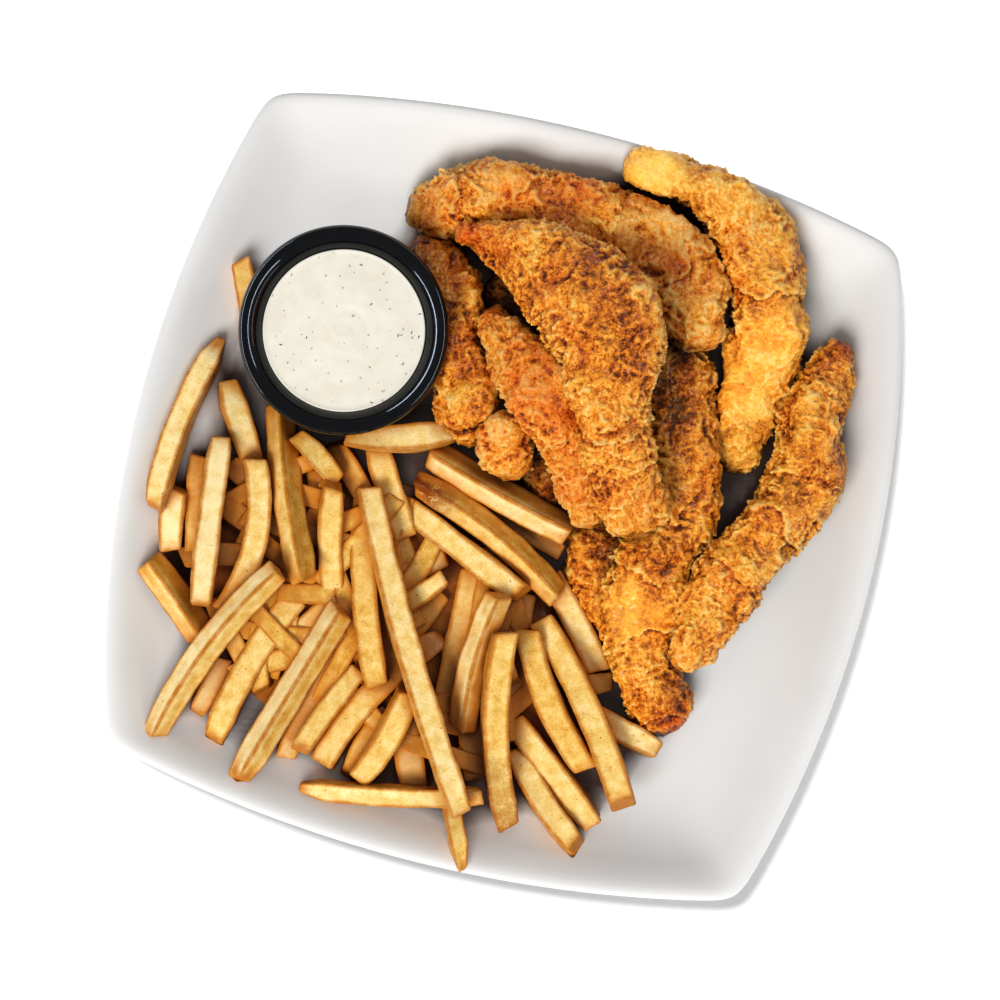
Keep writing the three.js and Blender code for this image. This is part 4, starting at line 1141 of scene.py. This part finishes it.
def stripSamples(strip, every):
    points = curveThrough(strip["line"], 12)
    steps = np.hypot(*np.diff(points[:, :2], axis=0).T)
    run = np.concatenate([[0], np.cumsum(steps)])
    length = run[-1]
    along = length * np.arange(math.ceil(length / every) + 1) / math.ceil(length / every)
    x, y, half = (np.interp(along, run, points[:, k]) for k in range(3))
    before = np.clip(np.searchsorted(run, along - 1e-9) - 1, 0, len(steps) - 1)
    direction = np.diff(points[:, :2], axis=0)[before] / steps[before][:, None]
    return [{"along": along[i], "length": length, "x": x[i], "y": y[i], "dirX": direction[i, 0],
             "dirY": direction[i, 1], "half": half[i]} for i in range(len(along))]


# Half the strip's thickness where its half width is half.
def halfThick(strip, half):
    widest = max(p[2] for p in strip["line"])
    return strip["thick"] / 2 * (0.35 + 0.65 * (half / widest) ** 0.7)


def settleStrip(strip):
    samples = stripSamples(strip, 1)

    def roundOver(across, s):
        share = np.minimum(1, np.abs(across) / s["half"])
        return halfThick(strip, s["half"]) * (1 - np.sqrt(1 - share * share))

    heights = supports(samples, stripSizes["bearing"], lambda across, s: 0.75 * roundOver(across, s))
    corners = tightString(samples, heights)
    along = np.array([s["along"] for s in samples])
    tight = np.interp(along, [c[0] for c in corners], [c[1] for c in corners])
    slack = stripSizes["slack"]
    padded = np.pad(tight, slack, mode="edge")
    lie = np.convolve(padded, np.ones(2 * slack + 1) / (2 * slack + 1), "valid") - stripSizes["sink"]
    raiseMap(samples, [z + 2 * halfThick(strip, s["half"]) for z, s in zip(lie, samples)], roundOver)
    return {**strip, "lie": lie, "lieAlong": along}


# The large lumps and cross ridges, as the solid has them.
def largeRelief(strip, along, angle):
    def phase(k):
        wave = math.sin((strip["seed"] * 10 + k) * 12.9898 + 4.1414) * 43758.5453
        return turn * (wave - math.floor(wave))

    bend = 1.5 * np.sin(angle + phase(1))
    ridge = np.abs(np.sin(along / 5.4 + bend + phase(2))) - 0.6
    lump = np.sin(2 * angle + along / 8.3 + phase(3))
    small = np.sin(3 * angle - along / 4.6 + phase(4))
    return strip["ribs"] * ridge * 0.7 + 0.9 * lump + 0.6 * small


# Turns the sine or cosine of an ellipse into that of the strips' fuller section.
def fuller(values):
    return np.sign(values) * np.abs(values) ** stripSizes["fullness"]


# The average of a grid of values over a few rows and, round the strip, over as many columns.
def blurred(grid, reach):
    padded = np.pad(grid, ((reach, reach), (0, 0)), mode="edge")
    rows = np.mean([padded[k:k + len(grid)] for k in range(2 * reach + 1)], axis=0)
    return np.mean([np.roll(rows, k, axis=1) for k in range(-reach, reach + 1)], axis=0)


# Sharp crests at several sizes with rounder hollows between, about 0 in the middle and 1 on a crest.
def ridges(points, size, shift):
    places = (points / size + shift).tolist()
    values = np.array([noise.ridged_multi_fractal(p, 1.0, 2.1, 3, 1.0, 1.6) for p in places])
    return np.clip((values - values.mean()) / values.std(), -1.8, 2.4)


# The form that the solid has, as rings of points along the strip, between its closed tips.
def stripForm(strip):
    samples = stripSamples(strip, stripSizes["ringEvery"])[1:-1]
    length = samples[0]["length"]
    along = np.array([s["along"] for s in samples])
    place = np.array([(s["x"], s["y"]) for s in samples])
    for _ in range(6):  # eases the direction between the curve's short steps
        place[1:-1] = 0.25 * place[:-2] + 0.5 * place[1:-1] + 0.25 * place[2:]
    forward = np.gradient(place, axis=0)
    forward /= np.hypot(*forward.T)[:, None]
    half = np.array([s["half"] for s in samples])
    high = halfThick(strip, half)
    fromEnd = np.minimum(along, length - along)
    tip = stripSizes["tipRound"] * np.where(along < length / 2, half[0], half[-1])
    closing = np.sqrt(np.clip(1 - (1 - np.clip(fromEnd / tip, 0, 1)) ** 2, 0.0004, 1))[:, None]
    ease = 0.35 + 0.65 * np.clip(fromEnd / stripSizes["smoothEnd"], 0, 1)
    least, most = stripSizes["around"]
    around = int(min(most, max(least, 2.9 * (half.max() + high.max()) / stripSizes["pointEvery"])))
    even = turn * np.arange(around) / around
    angles = even - 0.16 * np.sin(4 * even)  # spreads the points evenly round the full section
    lie = np.interp(along, strip["lieAlong"], strip["lie"])
    relief = np.array([largeRelief(strip, a, angles) for a in along]) * ease[:, None]
    across = (half[:, None] + relief) * fuller(np.cos(angles)) * closing
    lift = (high[:, None] + relief) * fuller(np.sin(angles)) * closing
    grid = np.stack([place[:, :1] - across * forward[:, 1:], place[:, 1:] + across * forward[:, :1],
                     (lie + high)[:, None] + lift], axis=2)
    return along, place, half, angles, closing, grid


# How far the batter's bumps and folds stand out at each point, in mm, and its colours there.
def batterRelief(strip, along, place, half, angles, points):
    shift = strip["seed"] * 7.3
    size, height = ({kind: pair[k] for kind, pair in stripSizes["bumps"].items()} for k in range(2))
    # a slow and a quick drift of the places keep the bumps from looking like plain noise
    slow = np.column_stack([noiseAt(points, 9, shift + k) for k in (0, 20, 40)])
    quick = np.column_stack([noiseAt(points, 3.2, shift + k) for k in (60, 80, 100)])
    warped = points + 3 * slow + 0.9 * quick
    sideways, upwards = (np.tile(f(angles), len(along)) for f in (np.cos, np.sin))
    widths = np.repeat(half, len(angles))
    ownPlace = np.column_stack([np.repeat(along, len(angles)), sideways * widths, upwards * widths])

    def billow(places, kind, moved):  # round tops with sharp creases between, from 0 to about 1
        return np.clip(np.abs(noiseAt(places, size[kind], shift + moved)) * 2.2, 0, 1.2) ** 0.75

    # rumples run across the strip, so their noise is drawn out that way
    rumple = billow((ownPlace + 4 * slow + 0.9 * quick) * (1, 0.42, 0.42), "rumple", 1)
    puff = billow(warped, "puff", 8)
    puffed = np.clip(0.45 + 1.5 * noiseAt(points, 13, shift + 18), 0, 1)  # only in some places
    crag = ridges(warped, size["crag"], shift + 2)
    flake = ridges(warped, size["flake"], shift + 4)
    knob = noiseAt(warped, size["knob"], shift + 6)
    cells = np.array([noise.voronoi(p)[0][0] for p in (warped / size["blister"] + shift).tolist()])
    blister = np.clip(1 - (cells / 0.8) ** 2, 0, 1)
    grain = noiseAt(points, size["grain"], shift) + 0.6 * noiseAt(points, 0.5 * size["grain"], shift + 5)
    lump = noiseAt(points, size["lump"], shift + 3)
    rough = np.clip(0.85 + 0.7 * noiseAt(points, 10, shift + 12), 0.6, 1.2)

    brown = strip["brown"] + 0.6 * noiseAt(points, 16, shift + 9) + 0.3 * noiseAt(points, 7, shift + 15)
    red = strip["red"] + 0.45 * noiseAt(points, 12, shift + 30)
    smooth, bump = np.zeros(len(points)), np.zeros(len(points))
    for x, y, reach, change in strip.get("spots", []):
        weight = np.exp(-((points[:, 0] - x) ** 2 + (points[:, 1] - y) ** 2) / reach ** 2)
        brown += weight * change.get("brown", 0)
        red += weight * change.get("red", 0)
        smooth = np.maximum(smooth, weight * change.get("smooth", 0))
        bump += weight * change.get("bump", 0)
    left, right = strip.get("browned", (0, 0))
    brown += left * np.clip(sideways, 0, 1) ** 1.5 + right * np.clip(-sideways, 0, 1) ** 1.5
    wavy = ownPlace[:, 0] + 9 * slow[:, 0] + 2.5 * quick[:, 0]
    for x, y, lip, reach in strip.get("folds", []):
        crease = along[np.argmin(np.hypot(place[:, 0] - x, place[:, 1] - y))]
        past = (crease - wavy) / reach  # above 0 on the side of the fold's lip
        rising, falling = np.exp(-np.clip(past, 0, 20)), -0.25 * np.exp(np.clip(past, -20, 0) * 3)
        bump += lip * np.where(past > 0, rising, falling)

    crisp = rough * (1 - 0.85 * smooth)
    sideCrags = 1 + 1.2 * sideways ** 4
    small = crisp * (height["rumple"] * strip["ribs"] ** 0.5 * (rumple - 0.5)
                     + height["knob"] * knob + height["puff"] * puffed * (puff - 0.5)
                     + sideCrags * (height["crag"] * crag + height["flake"] * flake
                                    + height["blister"] * (blister - 0.5) + height["grain"] * grain))
    return small + (height["lump"] * lump + bump), {"brown": brown, "red": red, "smooth": smooth}


# One strip: the same form as its solid, with the batter's relief and colours on it.
def makeStrip(strip, material, ceiling):
    along, place, half, angles, closing, grid = stripForm(strip)
    small, colours = batterRelief(strip, along, place, half, angles, grid.reshape(-1, 3))
    raised = small.reshape(grid.shape[:2])
    outward = np.cross(np.roll(grid, -1, axis=1) - np.roll(grid, 1, axis=1), np.gradient(grid, axis=0))
    outward /= np.linalg.norm(outward, axis=2)[:, :, None] + 1e-9
    settled = grid + outward * (raised * closing)[:, :, None]
    ground = plateTop(settled[:, :, 0], settled[:, :, 1]) + clearance
    settled[:, :, 2] = np.minimum(np.maximum(settled[:, :, 2], ground), ceiling)
    settled[:, :, 1] = np.minimum(settled[:, :, 1], cadBox[1].y / mm - boxMargin)
    hubs = [settled[0].mean(axis=0), settled[-1].mean(axis=0)]
    points = np.vstack([hubs[:1], settled.reshape(-1, 3), hubs[1:]])
    # crests are above what is round them, at two sizes, and creases below; the batter is painted lighter on
    # the crests and darker in the creases with it, as painted light and shade
    crest = (raised - blurred(raised, 3)) / 0.3 + (raised - blurred(raised, 10)) / 0.7
    values = {"crest": crest.ravel(), **colours}
    attributes = {name: np.concatenate([some[:1], some, some[-1:]]) for name, some in values.items()}
    attributes["gap"] = gapAt(points)
    faces = tubeFaces(*grid.shape[:2])
    return makePiece("battered_" + strip["name"], points, faces, material, attributes)


# Fried batter: a brittle crust full of small blisters. It is browner in whole patches, and oil gives it
# small bright glints. It is painted yellow-gold on the crests, brown in the creases and deep brown in the
# gaps of the heap, as painted light and shade.
def friedBatter():
    material, tree, shader, place = newMaterial("fried batter", {
        "IOR": 1.47,
        "Specular IOR Level": 0.4,
        "Coat Weight": 0.5,
        "Coat Roughness": 0.18,
    })
    crest, brown, red, smooth, gap = (addNode(tree, "Attribute", attribute_name=name).outputs["Fac"]
                                      for name in ("crest", "brown", "red", "smooth", "gap"))
    # crumb of the crust, from 1 to 2 mm down to a few tenths
    specks = addNode(tree, "TexNoise",
                     {"Vector": place, "Scale": 680.0, "Detail": 5.0, "Roughness": 0.7, "Distortion": 0.8})
    pores = addNode(tree, "TexVoronoi", {"Vector": place, "Scale": 1100.0})
    # where the crust is smooth its crumb is finer and flatter
    contrast = addNode(tree, "MapRange", [smooth, 0.0, 0.8, 2.1, 1.1])
    crumb = addNode(tree, "MapRange", [smooth, 0.0, 0.8, 1.0, 0.35])
    evened = addNode(tree, "Math", [specks, 0.5], operation="SUBTRACT")
    mottled = addNode(tree, "Math", [evened, contrast], operation="MULTIPLY")
    # crests painted lighter and creases darker, as painted light and shade, over the crumb's own mottle
    lightness = addNode(tree, "Math", [crest, 0.1, mottled], operation="MULTIPLY_ADD")
    paler = addNode(tree, "Math", [brown, -0.46, lightness], operation="MULTIPLY_ADD")
    heat = addNode(tree, "Math", [paler, 0.66], operation="ADD")
    crust = addNode(tree, "ValToRGB", [heat],
                    stops=[(0.0, "#54280A"), (0.18, "#8C4810"), (0.35, "#C46A19"), (0.52, "#E88C26"),
                           (0.7, "#F9AC3A"), (0.86, "#FFC258"), (1.0, "#FFD684")])
    yellowShare = addNode(tree, "MapRange", [red, 0.0, -1.0, 0.0, 0.6])
    yellower = addNode(tree, "Mix", [yellowShare, crust, "#FCC95E"], data_type="RGBA")
    redShare = addNode(tree, "MapRange", [red, 0.0, 1.0, 0.0, 0.8])
    redder = addNode(tree, "Mix", [redShare, yellower, "#E89A5C"], data_type="RGBA",
                     blend_type="MULTIPLY")
    # painted shade: deep brown where the heap hides the sky
    deep = addNode(tree, "MapRange", [gap, 0.42, 0.86, 0.0, 0.92])
    withPaintedShade = addNode(tree, "Mix", [deep, redder, "#2C1207"], data_type="RGBA")
    gloss = addNode(tree, "MapRange", [specks, 0.3, 0.7, 0.4, 0.7])
    porous = addNode(tree, "Bump",
                     {"Strength": 0.5, "Distance": 0.0003, "Height": pores.outputs["Distance"]})
    crumbly = addNode(tree, "Bump",
                      {"Strength": crumb, "Distance": 0.0012, "Height": specks, "Normal": porous})
    setInputs(tree, shader, {"Base Color": withPaintedShade, "Roughness": gloss, "Normal": crumbly})
    return material


# Lays everything in order, as it lies on the plate, and makes the pieces.
def makeFood():
    under = [settleStrip(strip) for strip in stripsUnder]
    chips = [settleChip(readChip(row)) for row in chipsUnder + chipsOver]
    alone = settleChip(readChip(chipAlone))
    over = [settleStrip(strip) for strip in stripsOver]
    print("food settled, highest", round(float(heapMap.max()), 1), "mm")
    # the pot counts as part of the heap from here on, so the painted shade on the plate and the food gathers
    # round it too
    fromPot = np.hypot(*np.meshgrid(mapSteps - potSizes["x"], mapSteps - potSizes["y"]))
    heapMap[fromPot < potSizes["rimRadius"]] = potBottom + potSizes["height"]
    settlePiece(makePlate(), "glazed_porcelain", "plate")

    potato = friedPotato()
    settlePiece(makeCore(potato), "fried_potato", "chips")
    for name, some, node in (("hidden_chips", hiddenChips(), "chips"), ("fried_chips", chips, "chips"),
                             ("fried_chip_alone", [alone], "chip_by_pot")):
        points, faces, attributes = [], [], {}
        for number, chip in enumerate(some):
            chipPoints, ringCount, values = chipRings(chip, number)
            ground = plateTop(chipPoints[:, 0], chipPoints[:, 1]) + clearance
            chipPoints[:, 2] = np.maximum(chipPoints[:, 2], ground)
            values["gap"] = gapAt(chipPoints)
            faces.extend(tubeFaces(ringCount, chipSizes["around"], sum(map(len, points))))
            points.append(chipPoints)
            for label, value in values.items():
                attributes.setdefault(label, []).append(value)
        joined = {label: np.concatenate(value) for label, value in attributes.items()}
        settlePiece(makePiece(name, np.vstack(points), faces, potato, joined), "fried_potato", node)

    batter = friedBatter()
    ceiling = cadBox[1].z / mm - boxMargin
    for strip in under + over:
        settlePiece(makeStrip(strip, batter, ceiling), "fried_batter", strip["name"])


makeFood()
